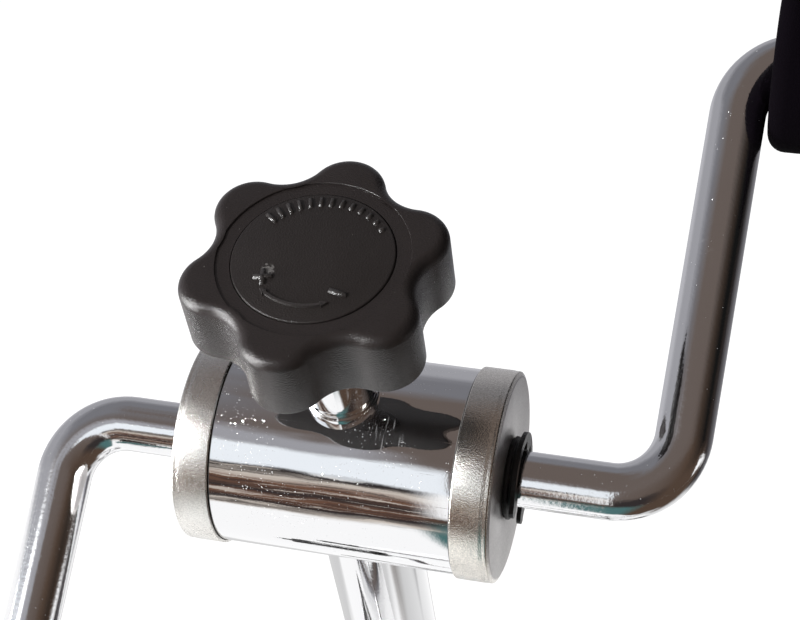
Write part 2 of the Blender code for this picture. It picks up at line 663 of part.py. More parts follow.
def foot_solid(flip):
    """Rubber end shoe over the stabiliser's end, with a flat sole on the floor."""
    start = STABILISER_HALF - 28 * MM
    inside = TUBE_RADIUS + GAP
    sole = -TUBE_HEIGHT
    edge = 4 * MM
    outline = [(inside, start), (FOOT_RADIUS, start)]
    outline += [(FOOT_RADIUS, FOOT_END - edge), (FOOT_RADIUS - edge, FOOT_END)]
    rings = [circle(inside, STABILISER_HALF + GAP, 20)]
    rings += [circle(radius, height, 20) for radius, height in outline]
    points, faces = place(lofted(rings, False), flip)
    points = [Vector((p.x, p.y, max(p.z, sole))) for p in points]
    return points, faces


def gusset(foot_y, radius, lean, sign):
    """Triangular stiffening plate in the corner between the rail and an upright tube."""
    bottom = TUBE_HEIGHT + TUBE_RADIUS + GAP
    clear = (radius + GAP) / cos(lean)
    foot = foot_y + sign * clear - (TUBE_RADIUS + GAP) * tan(lean)
    toe = foot + sign * GUSSET_SIZE
    tip = foot - GUSSET_SIZE * sin(lean)
    top = bottom + GUSSET_SIZE * cos(lean)
    corners = [(foot, bottom), (toe, bottom), (toe, bottom + GUSSET_EDGE)]
    corners += [(tip + sign * GUSSET_EDGE, top), (tip, top)]
    rings = [[(x, y, z) for y, z in corners] for x in (-GUSSET_THICK / 2, GUSSET_THICK / 2)]
    return lofted(rings, False)


def clamp_knob(mast):
    """Height clamp: a pad pushed on the inner mast by a star-knob screw."""
    feed = empty("clamp_feed", mast, (0, 0, CLAMP_AT), (-pi / 2, 0, 0))
    pad = cylinder(CLAMP_PAD_RADIUS, COLUMN_RADIUS + GAP, CLAMP_PAD_END, 14)
    add_object("clamp_pad", [pad], "nylon", feed)
    turn = empty("clamp_axis", feed)
    screw = cylinder(SCREW_RADIUS, CLAMP_PAD_END + GAP, CLAMP_SCREW_END, 14)
    add_object("clamp_screw", [screw], "steel", turn)
    rim = CLAMP_KNOB_START + 6 * MM
    edge = 1.6 * MM
    levels = [
        (None, SCREW_BORE, CLAMP_KNOB_START), (None, CLAMP_BOSS_RADIUS, CLAMP_KNOB_START), (0.0, 0, rim),
        (0.0, 0, CLAMP_KNOB_END - edge), (edge, 0, CLAMP_KNOB_END), (None, SCREW_BORE, CLAMP_KNOB_END),
    ]
    knob = lofted(knob_rings(CLAMP_KNOB_SCALE, levels, 2), True)
    add_object("clamp_knob", [knob], "black", turn)


def main():
    clear_scene()
    lower, mast = frame()
    crank, rise = hub_unit("lower", lower, LOWER_ARM_ANGLE, 24, 2, 4)
    pedals(crank, rise)

    slide = empty("mast_slide", mast)
    tube = pipe(COLUMN_RADIUS, COLUMN_RADIUS - TUBE_WALL, INNER_BOTTOM, MAST_LENGTH - HUB_RADIUS / 2, 24)
    column = add_object("mast_inner", [tube], "chrome", slide)
    upper = empty("upper_hub_frame", slide, (0, 0, MAST_LENGTH))
    saddle = place(cylinder(HUB_RADIUS + GAP, -2 * COLUMN_RADIUS, 2 * COLUMN_RADIUS, 40), AXIS_X)
    cut(column, "column_saddle", [saddle], upper)
    plug = COLUMN_RADIUS - TUBE_WALL - GAP
    slider = TUBE_RADIUS - TUBE_WALL - GAP
    guide = turned_solid([
        (slider, INNER_BOTTOM - 6 * MM), (slider, INNER_BOTTOM - GAP), (plug, INNER_BOTTOM - GAP),
        (plug, INNER_BOTTOM + 12 * MM)], 18)
    add_object("mast_guide", [guide], "black", slide)
    crank, rise = hub_unit("upper", upper, UPPER_ARM_ANGLE, 40, 3, 7)
    handles(crank, rise)


main()
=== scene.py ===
"""Looks of the arm and leg crank exerciser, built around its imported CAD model.

Metres, +Z up, in the CAD model's own frame. X runs along both crank shafts and the user sits on the -Y side.
"""

from math import acos, cos, pi, radians, sin, sqrt, tan

import bmesh
import bpy
from mathutils import Matrix, Vector, noise


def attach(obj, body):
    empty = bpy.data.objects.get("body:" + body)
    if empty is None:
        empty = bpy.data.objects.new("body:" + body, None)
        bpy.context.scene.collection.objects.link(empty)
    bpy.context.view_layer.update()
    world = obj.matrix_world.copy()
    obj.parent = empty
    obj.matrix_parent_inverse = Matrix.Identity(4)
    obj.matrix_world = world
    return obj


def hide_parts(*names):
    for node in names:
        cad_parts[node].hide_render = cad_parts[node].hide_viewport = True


MM = 0.001

# Dimensions shared with the CAD source
HUB_RADIUS = 25.4 * MM
HUB_HALF_LENGTH = 39.4 * MM
CAP_RADIUS = 26.2 * MM
CAP_WIDTH = 9.5 * MM
CAP_FACE = 1.2 * MM
CAP_BORE = 9.8 * MM
ROD_RADIUS = 7.0 * MM
SHAFT_BORE = 7.3 * MM
COLUMN_RADIUS = 12.7 * MM
TUBE_RADIUS = 15.9 * MM
TUBE_WALL = 1.5 * MM
TUBE_INNER = TUBE_RADIUS - TUBE_WALL
COLUMN_INNER = COLUMN_RADIUS - TUBE_WALL
HUB_WALL = 2.0 * MM
GAP = 0.3 * MM
CRANK_LENGTH = 113.0 * MM
CRANK_RIGHT = 79.4 * MM
CRANK_LEFT = 74.6 * MM
BEND_RADIUS = 16.0 * MM
ARM_LEAN = radians(1.7)
UPPER_ARM_ANGLE = radians(63.3)
LOWER_ARM_ANGLE = radians(90.0)
MAST_LEAN = radians(23.77)
KNOB_BOTTOM = 59.4 * MM
KNOB_TOP = 77.2 * MM
KNOB_TURN = radians(25.0)
LOBE_CENTRE = 21.4 * MM
LOBE_RADIUS = 8.9 * MM
VALLEY_RADIUS = 9.8 * MM
KNOB_EDGE = 2.8 * MM
FACE_RING = 21.6 * MM
DISC_RADIUS = 18.2 * MM
BOSS_RADIUS = 8.2 * MM
BOSS_FLANGE = 8.9 * MM
BOSS_TOP = 52.0 * MM
SCREW_BORE = 4.3 * MM
BUSH_RADIUS = 9.5 * MM
BUSH_START = 30.0 * MM
BUSH_FLANGE_RADIUS = 10.3 * MM
BUSH_FLANGE = 0.9 * MM
BUSH_NOSE_RADIUS = 8.8 * MM
BUSH_NOSE = 1.6 * MM
CLIP_START = 41.6 * MM
CLIP_END = 42.7 * MM
CLIP_RADIUS = 11.6 * MM
CLIP_INNER = 9.4 * MM
CLIP_MOUTH = 38
CLIP_PRONG = 30
STABILISER_Y = 0.270
STABILISER_HALF = 0.205
FOOT_RADIUS = 20.0 * MM
TUBE_HEIGHT = 18.0 * MM
FOOT_END = 0.230
LOWER_HUB_Y = -0.040
LOWER_HUB_Z = 0.250
MAST_FOOT_Y = 0.215
UPPER_HUB_Z = 0.900
OUTER_TOP = 0.550
INNER_BOTTOM = 0.360
CLAMP_AT = 0.500
CLAMP_BOSS_RADIUS = 9.0 * MM
CLAMP_BOSS_END = 28.0 * MM
CLAMP_KNOB_START = 32.0 * MM
CLAMP_KNOB_END = 50.0 * MM
CLAMP_KNOB_SCALE = 0.68
FOAM_START = 90.0 * MM
FOAM_END = 206.0 * MM
FOAM_RADIUS = 23.0 * MM
HANDLE_END = 212.0 * MM
PEDAL_START = 104.0 * MM
PEDAL_END = 196.0 * MM
PEDAL_HALF_LENGTH = 46.0 * MM
PEDAL_TOP = 9.0 * MM
PEDAL_BOTTOM = -19.0 * MM
PEDAL_NUT_START = 201.5 * MM
PEG_DROP = 14.2 * MM
STRAP_HALF_WIDTH = 14.0 * MM
STRAP_DROP = 19.0 * MM
STRAP_THICK = 2.2 * MM
STRAP_SHOULDER = 20.0 * MM
STRAP_RISE = 72.0 * MM
MAST_LENGTH = (UPPER_HUB_Z - TUBE_HEIGHT) / cos(MAST_LEAN)

# Dimensions of forms that only this script shows: clip tips, raised marks and tube ends sunk into welds
CLIP_MIDDLE = 10.6 * MM
CLIP_TIP = 2.4 * MM
MARK_HEIGHT = 0.60 * MM
MARK_ROOT = -0.1 * MM
SUNK = 0.4 * MM
RAIL_SEAT = TUBE_RADIUS - SUNK
HUB_SEAT = HUB_RADIUS - SUNK

# Frames of the units
AXIS_X = Matrix.Rotation(pi / 2, 4, "Y")
AXIS_Y = Matrix.Rotation(-pi / 2, 4, "X")
HALF_TURN = Matrix.Rotation(pi, 4, "Z")
SIDES = (("right", AXIS_X, 1), ("left", HALF_TURN @ AXIS_X, -1))
MAST = Matrix.Translation((0, MAST_FOOT_Y, TUBE_HEIGHT)) @ Matrix.Rotation(MAST_LEAN, 4, "X")
UPPER = MAST @ Matrix.Translation((0, 0, MAST_LENGTH))
LOWER = Matrix.Translation((0, LOWER_HUB_Y, LOWER_HUB_Z))

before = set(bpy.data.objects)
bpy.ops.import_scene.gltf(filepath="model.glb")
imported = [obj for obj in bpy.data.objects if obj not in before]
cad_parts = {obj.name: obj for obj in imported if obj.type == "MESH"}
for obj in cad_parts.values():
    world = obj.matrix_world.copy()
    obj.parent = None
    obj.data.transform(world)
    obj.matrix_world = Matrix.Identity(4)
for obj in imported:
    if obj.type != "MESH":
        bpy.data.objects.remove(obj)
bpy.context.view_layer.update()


# Node helpers


class Tree:
    """A node tree with short calls for the nodes used here."""

    def __init__(self, tree):
        self.tree = tree
        tree.nodes.clear()

    def link(self, source, socket):
        """Links a socket to another, or sets its value. Three numbers do for a colour."""
        if hasattr(source, "links"):
            self.tree.links.new(source, socket)
        elif isinstance(source, tuple) and len(source) < len(socket.default_value):
            socket.default_value = (*source, 1.0)
        else:
            socket.default_value = source

    def node(self, kind, inputs, **settings):
        """A new shader node. Inputs gives its sockets, by name or number, their values or links."""
        made = self.tree.nodes.new("ShaderNode" + kind)
        for name, value in settings.items():
            setattr(made, name, value)
        for name, value in inputs.items():
            self.link(value, made.inputs[name])
        return made

    def math(self, operation, a, b=0.0, c=0.0):
        return self.node("Math", {0: a, 1: b, 2: c}, operation=operation).outputs[0]

    def times(self, first, *others):
        for other in others:
            first = self.math("MULTIPLY", first, other)
        return first

    def plus(self, first, *others):
        for other in others:
            first = self.math("ADD", first, other)
        return first

    def inverted(self, value):
        """1 minus a value."""
        return self.math("SUBTRACT", 1.0, value)

    def vector(self, operation, a, b):
        """A vector operation. Scale takes a number as its second value, the others a vector."""
        second = "Scale" if operation == "SCALE" else 1
        return self.node("VectorMath", {0: a, second: b}, operation=operation).outputs

    def step(self, value, low, high):
        """0 below low, 1 above high, smooth between."""
        inputs = {"Value": value, "From Min": low, "From Max": high}
        return self.node("MapRange", inputs, interpolation_type="SMOOTHSTEP").outputs["Result"]

    def band(self, value, low, full, fall, high):
        """0 outside low and high, 1 from full to fall, smooth between."""
        return self.times(self.step(value, low, full), self.inverted(self.step(value, fall, high)))

    def scaled(self, value, low, high, to_low, to_high):
        inputs = {"Value": value, "From Min": low, "From Max": high, "To Min": to_low, "To Max": to_high}
        return self.node("MapRange", inputs).outputs["Result"]

    def mix(self, factor, a, b):
        """Blends two colours, which are inputs 6 and 7 and output 2 of the node."""
        return self.node("Mix", {0: factor, 6: a, 7: b}, data_type="RGBA").outputs[2]

    def ramp(self, factor, stops):
        made = self.node("ValToRGB", {"Fac": factor})
        elements = made.color_ramp.elements
        while len(elements) < len(stops):
            elements.new(0.5)
        for element, (position, colour) in zip(elements, stops):
            element.position = position
            element.color = (*colour, 1.0)
        return made.outputs["Color"]

    def axes(self, vector):
        return self.node("SeparateXYZ", {0: vector}).outputs

    def coordinates(self, stretch=(1, 1, 1)):
        """Object coordinates, stretched along the axes."""
        place = self.node("TexCoord", {}).outputs["Object"]
        if stretch == (1, 1, 1):
            return place
        return self.node("Mapping", {"Vector": place, "Scale": stretch}).outputs["Vector"]

    def clouds(self, place, scale, detail=2.0):
        return self.node("TexNoise", {"Vector": place, "Scale": scale, "Detail": detail}).outputs

    def noise(self, scale, detail=2.0, stretch=(1, 1, 1)):
        return self.clouds(self.coordinates(stretch), scale, detail)["Fac"]

    def near(self, point, inside, outside):
        """1 within inside of a point, 0 past outside, smooth between."""
        apart = self.vector("DISTANCE", self.coordinates(), point)["Value"]
        return self.inverted(self.step(apart, inside, outside))

    def specks(self, scale, size, share, clusters):
        """Small ragged dots in a share of the cells, gathered in clusters. Their strength varies."""
        place = self.coordinates()
        push = self.vector("SCALE", self.clouds(place, 2.5 * scale)["Color"], 0.25 / scale)["Vector"]
        moved = self.vector("ADD", place, push)["Vector"]
        cells = self.node("TexVoronoi", {"Vector": moved, "Scale": scale}).outputs
        parts = self.node("SeparateColor", {"Color": cells["Color"]}).outputs
        dot = self.math("LESS_THAN", cells["Distance"], self.times(parts["Green"], size))
        gathered = self.step(self.noise(clusters), 0.40, 0.68)
        chosen = self.math("LESS_THAN", parts["Red"], self.times(gathered, share))
        strength = self.math("MULTIPLY_ADD", self.math("POWER", parts["Blue"], 2.0), 0.85, 0.15)
        return self.times(dot, chosen, strength)

    def bump(self, height, strength, distance, normal=None):
        inputs = {"Strength": strength, "Distance": distance, "Height": height}
        if normal is not None:
            inputs["Normal"] = normal
        return self.node("Bump", inputs).outputs["Normal"]

    def seen(self):
        """1 to the camera, in mirrors and through glass, otherwise 0."""
        rays = self.node("LightPath", {}).outputs
        direct = self.math("MAXIMUM", rays["Is Camera Ray"], rays["Is Transmission Ray"])
        return self.math("MAXIMUM", direct, rays["Is Glossy Ray"])

    def finish(self, shader, kind="OutputMaterial"):
        self.node(kind, {"Surface": shader.outputs[0]})

    def surface(self, colour, metallic, roughness, normal, specular=0.5):
        self.finish(self.node("BsdfPrincipled", {
            "Base Color": colour, "Metallic": metallic, "Roughness": roughness,
            "Specular IOR Level": specular, "Normal": normal}))


def new_material(name):
    material = bpy.data.materials.new(name)
    material.use_nodes = True
    return material, Tree(material.node_tree)


def toned(colour, level):
    return tuple(level * part for part in colour)


# Materials. Colours are linear, and the scale of noise and specks is in cells to the metre.


def chrome_material(name, dusty, haze, pitting, streak, seam=False, scratch=None):
    """Mirror chrome, slightly wavy, with dust on the sides that face up and hair-fine scratches.

    Pitting is the depth of the fine bumps, and streak the stretch of the scratches. With seam, a thin near-black
    band shows on the chrome next to the hub's end caps. Scratch is the middle of a few pale scratches.
    """
    material, t = new_material(name)
    facing_up = t.axes(t.node("NewGeometry", {}).outputs["Normal"])["Z"]
    settled = t.scaled(facing_up, 0.0, 0.8, 0.2 * dusty, dusty)
    fine = t.specks(1900.0, 0.27, t.times(settled, 2.6), 58.0)
    coarse = t.specks(760.0, 0.11, t.times(settled, 1.1), 58.0)
    dust = t.math("MAXIMUM", fine, coarse)
    scratches = t.step(t.noise(1.0, 3.0, streak), 0.68, 0.73)
    if scratch is not None:
        near = t.near(scratch, 3.0 * MM, 9.0 * MM)
        lines = t.step(t.times(near, t.noise(1.0, 1.0, (2800, 180, 180))), 0.60, 0.68)
        dust = t.math("MAXIMUM", dust, t.times(lines, 0.22))
    roughness = t.scaled(t.noise(45.0, 4.0), 0.35, 0.75, haze, haze + 0.04)
    roughness = t.plus(roughness, t.times(scratches, 0.08), t.times(dust, 0.45))
    colour = t.mix(dust, (0.86, 0.86, 0.87), (0.92, 0.92, 0.93))
    metallic = t.inverted(t.times(dust, 0.8))
    if seam:
        across = t.math("ABSOLUTE", t.axes(t.coordinates())["X"])
        # Near-black, non-metallic band on the chrome next to the end caps' edges and under them
        seam_band = t.step(across, SEAM_AT - 0.45 * MM, SEAM_AT - 0.20 * MM)
        colour = t.mix(seam_band, colour, (0.02, 0.018, 0.015))
        metallic = t.times(metallic, t.inverted(seam_band))
    normal = t.bump(t.noise(45.0, 1.0), 1.0, 0.05 * MM)
    normal = t.bump(t.noise(1100.0, 2.0), 1.0, pitting, normal)
    normal = t.bump(scratches, 0.12, 0.02 * MM, normal)
    normal = t.bump(dust, 0.6, 0.03 * MM, normal)
    t.surface(colour, metallic, roughness, normal)
    return material


def satin_material(name, shade, light, roughness, grain_depth):
    """Satin nickel: soft reflections broken up by a fine blasted grain, duller on the flat faces."""
    material, t = new_material(name)
    grain = t.noise(3400.0, 1.0)
    patches = t.noise(90.0, 3.0)
    across = t.math("ABSOLUTE", t.axes(t.coordinates())["X"])
    face = t.step(across, HUB_HALF_LENGTH - 0.25 * MM, HUB_HALF_LENGTH - 0.05 * MM)
    colour = t.mix(face, t.mix(patches, shade, light), (0.58, 0.56, 0.55))
    speckle = t.scaled(t.noise(2600.0, 2.0), 0.3, 0.7, 0.80, 1.08)
    rough = t.scaled(patches, 0.3, 0.7, roughness, roughness + 0.05)
    rough = t.plus(rough, t.times(face, 0.32 - roughness))
    bumpy = t.times(grain, t.inverted(t.times(face, 0.7)))
    t.surface(t.vector("SCALE", colour, speckle)["Vector"], 1.0, rough, t.bump(bumpy, 1.0, grain_depth))
    return material


def plastic_material(name, colour, roughness, grain_size, specular, scuff=None):
    """Moulded black plastic with a fine spark-eroded grain and a few pale dust specks.

    Scuff is the centre of a small patch of pale scratches.
    """
    material, t = new_material(name)
    grain = t.noise(1.0 / grain_size, 3.0)
    patches = t.noise(60.0, 3.0)
    dust = t.specks(700.0, 0.12, 0.30, 40.0)
    base = t.mix(dust, t.mix(patches, toned(colour, 0.85), toned(colour, 1.15)), (0.16, 0.15, 0.14))
    if scuff is not None:
        near = t.near(scuff, 0.8 * MM, 3.4 * MM)
        torn = t.step(t.times(near, t.noise(1300.0, 3.0, (1.0, 1.0, 0.3))), 0.40, 0.52)
        base = t.mix(t.times(torn, 0.8), base, (0.17, 0.16, 0.155))
    rough = t.scaled(patches, 0.3, 0.7, roughness - 0.04, roughness + 0.05)
    t.surface(base, 0.0, rough, t.bump(grain, 1.0, 0.36 * grain_size), specular)
    return material


def rubber_material(name, colour, roughness, cell, depth, specular):
    """Matt rubber or foam: small cells or a dusty bloom, hardly any gloss."""
    material, t = new_material(name)
    cells = t.noise(1.0 / cell, 4.0)
    bloom = t.noise(35.0, 3.0)
    base = t.mix(t.times(bloom, cells), colour, toned(colour, 1.6))
    t.surface(base, 0.0, roughness, t.bump(cells, 0.7, depth), specular)
    return material


def mottled_material(name, metallic, shade, light, smooth, rough, scale, detail, relief):
    """Zinc plate or nylon: dull, slightly mottled."""
    material, t = new_material(name)
    mottle = t.noise(scale, detail)
    colour = t.mix(mottle, shade, light)
    t.surface(colour, metallic, t.scaled(mottle, 0.3, 0.7, smooth, rough), t.bump(mottle, relief, 0.05 * MM))
    return material


SEAM_AT = HUB_HALF_LENGTH - CAP_WIDTH
SCRATCH = UPPER @ Vector((13.1 * MM, -8.0 * MM, 24.1 * MM))
SCUFF = UPPER @ Vector((-8.8 * MM, -4.8 * MM, KNOB_TOP - 0.1 * MM))
ALONG_X = (40, 2600, 2600)
ALONG_Z = (2600, 2600, 40)
ALONG_ARM = (300, 1500, 300)
CHROME_HUB = chrome_material("chrome_hub", 1.0, 0.03, 0.004 * MM, ALONG_X, True, SCRATCH)
CHROME_X = chrome_material("chrome_shaft", 0.4, 0.05, 0.004 * MM, ALONG_X)
CHROME_Z = chrome_material("chrome_tube", 0.2, 0.03, 0.002 * MM, ALONG_Z)
CHROME_PITTED = chrome_material("chrome_rod", 0.05, 0.08, 0.020 * MM, ALONG_ARM)
# Two copies of the satin nickel: the left cap's copy is lighter, which is painted light, and also rougher
SATIN_RIGHT = satin_material("satin_nickel", (0.78, 0.73, 0.66), (0.93, 0.91, 0.86), 0.16, 0.07 * MM)
SATIN_LEFT_LIT = satin_material("satin_nickel_rough_lit", (0.90, 0.87, 0.82), (0.98, 0.97, 0.94), 0.25, 0.09 * MM)
KNOB = plastic_material("knob_plastic", (0.023, 0.0185, 0.0178), 0.22, 0.36 * MM, 0.50)
FACE = plastic_material("knob_face", (0.022, 0.018, 0.017), 0.34, 0.40 * MM, 0.45, SCUFF)
MARKS = plastic_material("knob_marks", (0.030, 0.026, 0.025), 0.30, 0.50 * MM, 0.9)
PLASTIC = plastic_material("black_plastic", (0.016, 0.014, 0.014), 0.42, 0.5 * MM, 0.3)
BLACK_STEEL = plastic_material("black_steel", (0.008, 0.007, 0.007), 0.34, 0.8 * MM, 0.35)
FOAM = rubber_material("foam", (0.0022, 0.0014, 0.0026), 0.95, 0.6 * MM, 0.12 * MM, 0.03)
RUBBER = rubber_material("rubber", (0.018, 0.018, 0.018), 0.72, 0.9 * MM, 0.05 * MM, 0.3)
STEEL = mottled_material(
    "zinc_steel", 1.0, (0.50, 0.50, 0.51), (0.64, 0.64, 0.63), 0.26, 0.42, 220.0, 4.0, 0.15)
NYLON = mottled_material(
    "nylon", 0.0, (0.72, 0.70, 0.63), (0.80, 0.78, 0.72), 0.38, 0.5, 160.0, 3.0, 0.2)


# Mesh helpers


def lofted(rings, closed):
    """Skins equal rings of points. Closed joins the last ring to the first, otherwise ends are capped."""
    count = len(rings[0])
    points = [Vector(point) for ring in rings for point in ring]
    faces = []
    last = len(rings) if closed else len(rings) - 1
    for i in range(last):
        a = i * count
        b = ((i + 1) % len(rings)) * count
        for j in range(count):
            k = (j + 1) % count
            faces.append((a + j, a + k, b + k, b + j))
    if not closed:
        faces.append(tuple(range(count)))
        faces.append(tuple(range(len(points) - count, len(points))))
    return points, faces


def place(solid, matrix):
    """A solid moved by a matrix."""
    points, faces = solid
    return [matrix @ point for point in points], faces


def arc_corner(before, corner, after, radius, steps):
    """Points of the arc that rounds a corner."""
    back = (before - corner).normalized()
    ahead = (after - corner).normalized()
    angle = acos(max(-1.0, min(1.0, back.dot(ahead))))
    centre = corner + (back + ahead).normalized() * radius / sin(angle / 2)
    start = corner + back * radius / tan(angle / 2) - centre
    end = corner + ahead * radius / tan(angle / 2) - centre
    sweep = pi - angle
    turns = [sweep * i / steps for i in range(steps + 1)]
    return [centre + (start * sin(sweep - t) + end * sin(t)) / sin(sweep) for t in turns]


def rounded(corners, closed=True, steps=4):
    """An outline of (radius, height) points from (radius, height, rounding) corners."""
    outline = []
    for i, (r, h, rounding) in enumerate(corners):
        point = Vector((r, h))
        if rounding and (closed or 0 < i < len(corners) - 1):
            before = Vector(corners[i - 1][:2])
            after = Vector(corners[(i + 1) % len(corners)][:2])
            outline += arc_corner(before, point, after, rounding, steps)
        else:
            outline.append(point)
    return [tuple(point) for point in outline]


def circle(radius, height, sides):
    steps = [2 * pi * i / sides for i in range(sides)]
    return [(radius * cos(a), radius * sin(a), height) for a in steps]


def turned(corners, closed, sides, steps=4):
    """A turned solid about Z from rounded corners: a ring if closed, else capped flat at both ends."""
    outline = rounded(corners, closed, steps)
    return lofted([circle(r, h, sides) for r, h in outline], closed)


def path_rod(path, radius, sides):
    """A round bar along a path in the XZ plane."""
    side = Vector((0, 1, 0))
    rings = []
    for i, point in enumerate(path):
        along = path[min(i + 1, len(path) - 1)] - path[max(i - 1, 0)]
        across = side.cross(along.normalized())
        turns = [2 * pi * j / sides for j in range(sides)]
        rings.append([point + radius * (cos(a) * across + sin(a) * side) for a in turns])
    return lofted(rings, False)


def coped_tube(outer, inner, low, high, sides=72):
    """A tube about Z whose end heights are functions of the point across."""
    rings = []
    for radius, end in ((outer, low), (outer, high), (inner, high), (inner, low)):
        rings.append([(x, y, end(x, y)) for x, y, _ in circle(radius, 0, sides)])
    return lofted(rings, True)


def bead(radius, end, size, sides=96):
    """A small weld bead round a tube's coped end."""
    up = Vector((0, 0, 1))
    turns = [2 * pi * j / 8 for j in range(8)]
    rings = []
    for i in range(sides):
        a = 2 * pi * i / sides
        out = Vector((cos(a), sin(a), 0))
        ripple = size * (1 + 0.10 * sin(24 * a))
        foot = radius * out
        centre = Vector((foot.x, foot.y, end(foot.x, foot.y)))
        rings.append([centre + ripple * (cos(b) * out + sin(b) * up) for b in turns])
    return lofted(rings, True)


def rounded_rectangle(half_x, half_y, radius, height, steps=5):
    points = []
    for sx, sy, start in ((1, 1, 0), (-1, 1, 90), (-1, -1, 180), (1, -1, 270)):
        for i in range(steps + 1):
            a = radians(start + 90 * i / steps)
            x = sx * (half_x - radius) + radius * cos(a)
            points.append((x, sy * (half_y - radius) + radius * sin(a), height))
    return points


def edge_levels(edge, top, steps, direction):
    """(inset, height) pairs of a rounded edge, from wall to face. Direction is 1 for a top, -1 below."""
    levels = []
    for i in range(steps + 1):
        a = pi / 2 * i / steps
        levels.append((edge * (1 - cos(a)), top - direction * edge * (1 - sin(a))))
    return levels


def soft_block(half_x, half_y, corner, low, high, edge):
    """A block with rounded corners and rounded top and bottom edges, about the Z axis."""
    levels = edge_levels(edge, low, 3, -1)[::-1] + edge_levels(edge, high, 3, 1)
    rings = [rounded_rectangle(half_x - i, half_y - i, max(corner - i, 0.1 * MM), h) for i, h in levels]
    return lofted(rings, False)


def added(name, data):
    """A new object in the scene."""
    obj = bpy.data.objects.new(name, data)
    bpy.context.scene.collection.objects.link(obj)
    return obj


def piece(name, solids, material, body, *nodes, matrix, sharp=32):
    """One shown piece from closed solids. It rides on a body and stands for CAD nodes."""
    mesh = bpy.data.meshes.new(name)
    vertices = []
    faces = []
    for points, polygons in solids:
        start = len(vertices)
        vertices.extend([matrix @ point for point in points])
        faces.extend([tuple(start + i for i in polygon) for polygon in polygons])
    mesh.from_pydata(vertices, [], faces)
    work = bmesh.new()
    work.from_mesh(mesh)
    bmesh.ops.recalc_face_normals(work, faces=work.faces)
    work.to_mesh(mesh)
    work.free()
    mesh.shade_smooth()
    mesh.set_sharp_from_angle(angle=radians(sharp))
    mesh.materials.append(material)
    obj = added(name, mesh)
    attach(obj, body)
    if nodes:
        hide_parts(*nodes)
    return obj


# Star knobs


def lobe_outline(scale, inset, height, steps):
    """Star-knob outline of convex arcs and hollow arcs that meet without a corner."""
    count = 6
    centre = LOBE_CENTRE * scale
    lobe = LOBE_RADIUS * scale
    valley = VALLEY_RADIUS * scale
    half = pi / count
    reach = centre * cos(half)
    hollow = reach + sqrt(reach ** 2 - centre ** 2 + (lobe + valley) ** 2)
    hollow_point = Vector((hollow * cos(half), hollow * sin(half)))
    lobe_point = Vector((centre, 0))
    lobe_end = (hollow_point - lobe_point).angle_signed(Vector((1, 0)))
    hollow_half = lobe_end - half
    outline = []
    for k in range(count):
        turn = Matrix.Rotation(2 * half * k, 2)
        for i in range(2 * steps):
            a = -lobe_end + lobe_end * i / steps
            outline.append(turn @ (lobe_point + (lobe - inset) * Vector((cos(a), sin(a)))))
        for i in range(2 * steps):
            a = pi + half + hollow_half - hollow_half * i / steps
            outline.append(turn @ (hollow_point + (valley + inset) * Vector((cos(a), sin(a)))))
    return [Vector((point.x, point.y, height)) for point in outline]


def round_ring(base, radius, height):
    """The points of an outline drawn in or out to a circle."""
    return [Vector((*(radius * point.to_2d().normalized()), height)) for point in base]


def star_knob(scale, bottom, top, edge, neck, steps, face):
    """A star knob lofted from its neck up over the rim. Neck and face are lists of (radius, height)."""
    base = lobe_outline(scale, 0.0, 0.0, steps)
    low = 0.3 * edge
    rings = [round_ring(base, radius, height) for radius, height in neck]
    for inset, height in reversed(edge_levels(low, bottom, 3, -1)):
        rings.append(lobe_outline(scale, inset, height, steps))
    for inset, height in edge_levels(edge, top, 8, 1):
        rings.append(lobe_outline(scale, inset, height, steps))
    rings += [round_ring(base, radius, height) for radius, height in face]
    return lofted(rings, True)


def raised_bar(centre, angle, length, width, floor):
    """A small raised mark with sloping sides, on the face at floor."""
    turn = Matrix.Rotation(angle, 3, "Z")
    corners = ((1, 1), (-1, 1), (-1, -1), (1, -1))
    levels = ((-0.12 * MM, MARK_ROOT), (0.0, 0.0), (0.05 * MM, 0.55 * MARK_HEIGHT), (0.28 * MM, MARK_HEIGHT))
    rings = []
    for inset, level in levels:
        half_length = length / 2 - inset
        half_width = width / 2 - inset
        flat = [turn @ Vector((sx * half_length, sy * half_width, 0)) for sx, sy in corners]
        rings.append([point + Vector((*centre, floor + level)) for point in flat])
    return lofted(rings, False)


def raised_arrow(centre, angle, size, floor):
    """A raised triangle that points along its angle."""
    turn = Matrix.Rotation(angle, 3, "Z")
    corners = (Vector((1, 0, 0)), Vector((-0.5, 0.62, 0)), Vector((-0.5, -0.62, 0)))
    rings = []
    for scale, level in ((1.12, MARK_ROOT), (1.0, 0.0), (0.8, MARK_HEIGHT)):
        middle = Vector((*centre, floor + level))
        rings.append([turn @ (size * scale * corner) + middle for corner in corners])
    return lofted(rings, False)


def raised_arc(radius, start, end, width, floor):
    """A raised arc with sloping sides."""
    side = 0.5 * width
    top = 0.35 * width
    section = ((-side, MARK_ROOT), (-top, MARK_HEIGHT), (top, MARK_HEIGHT), (side, MARK_ROOT))
    steps = 32
    rings = []
    for i in range(steps + 1):
        a = start + (end - start) * i / steps
        out = Vector((cos(a), sin(a), 0))
        rings.append([(radius + r) * out + Vector((0, 0, floor + h)) for r, h in section])
    return lofted(rings, False)


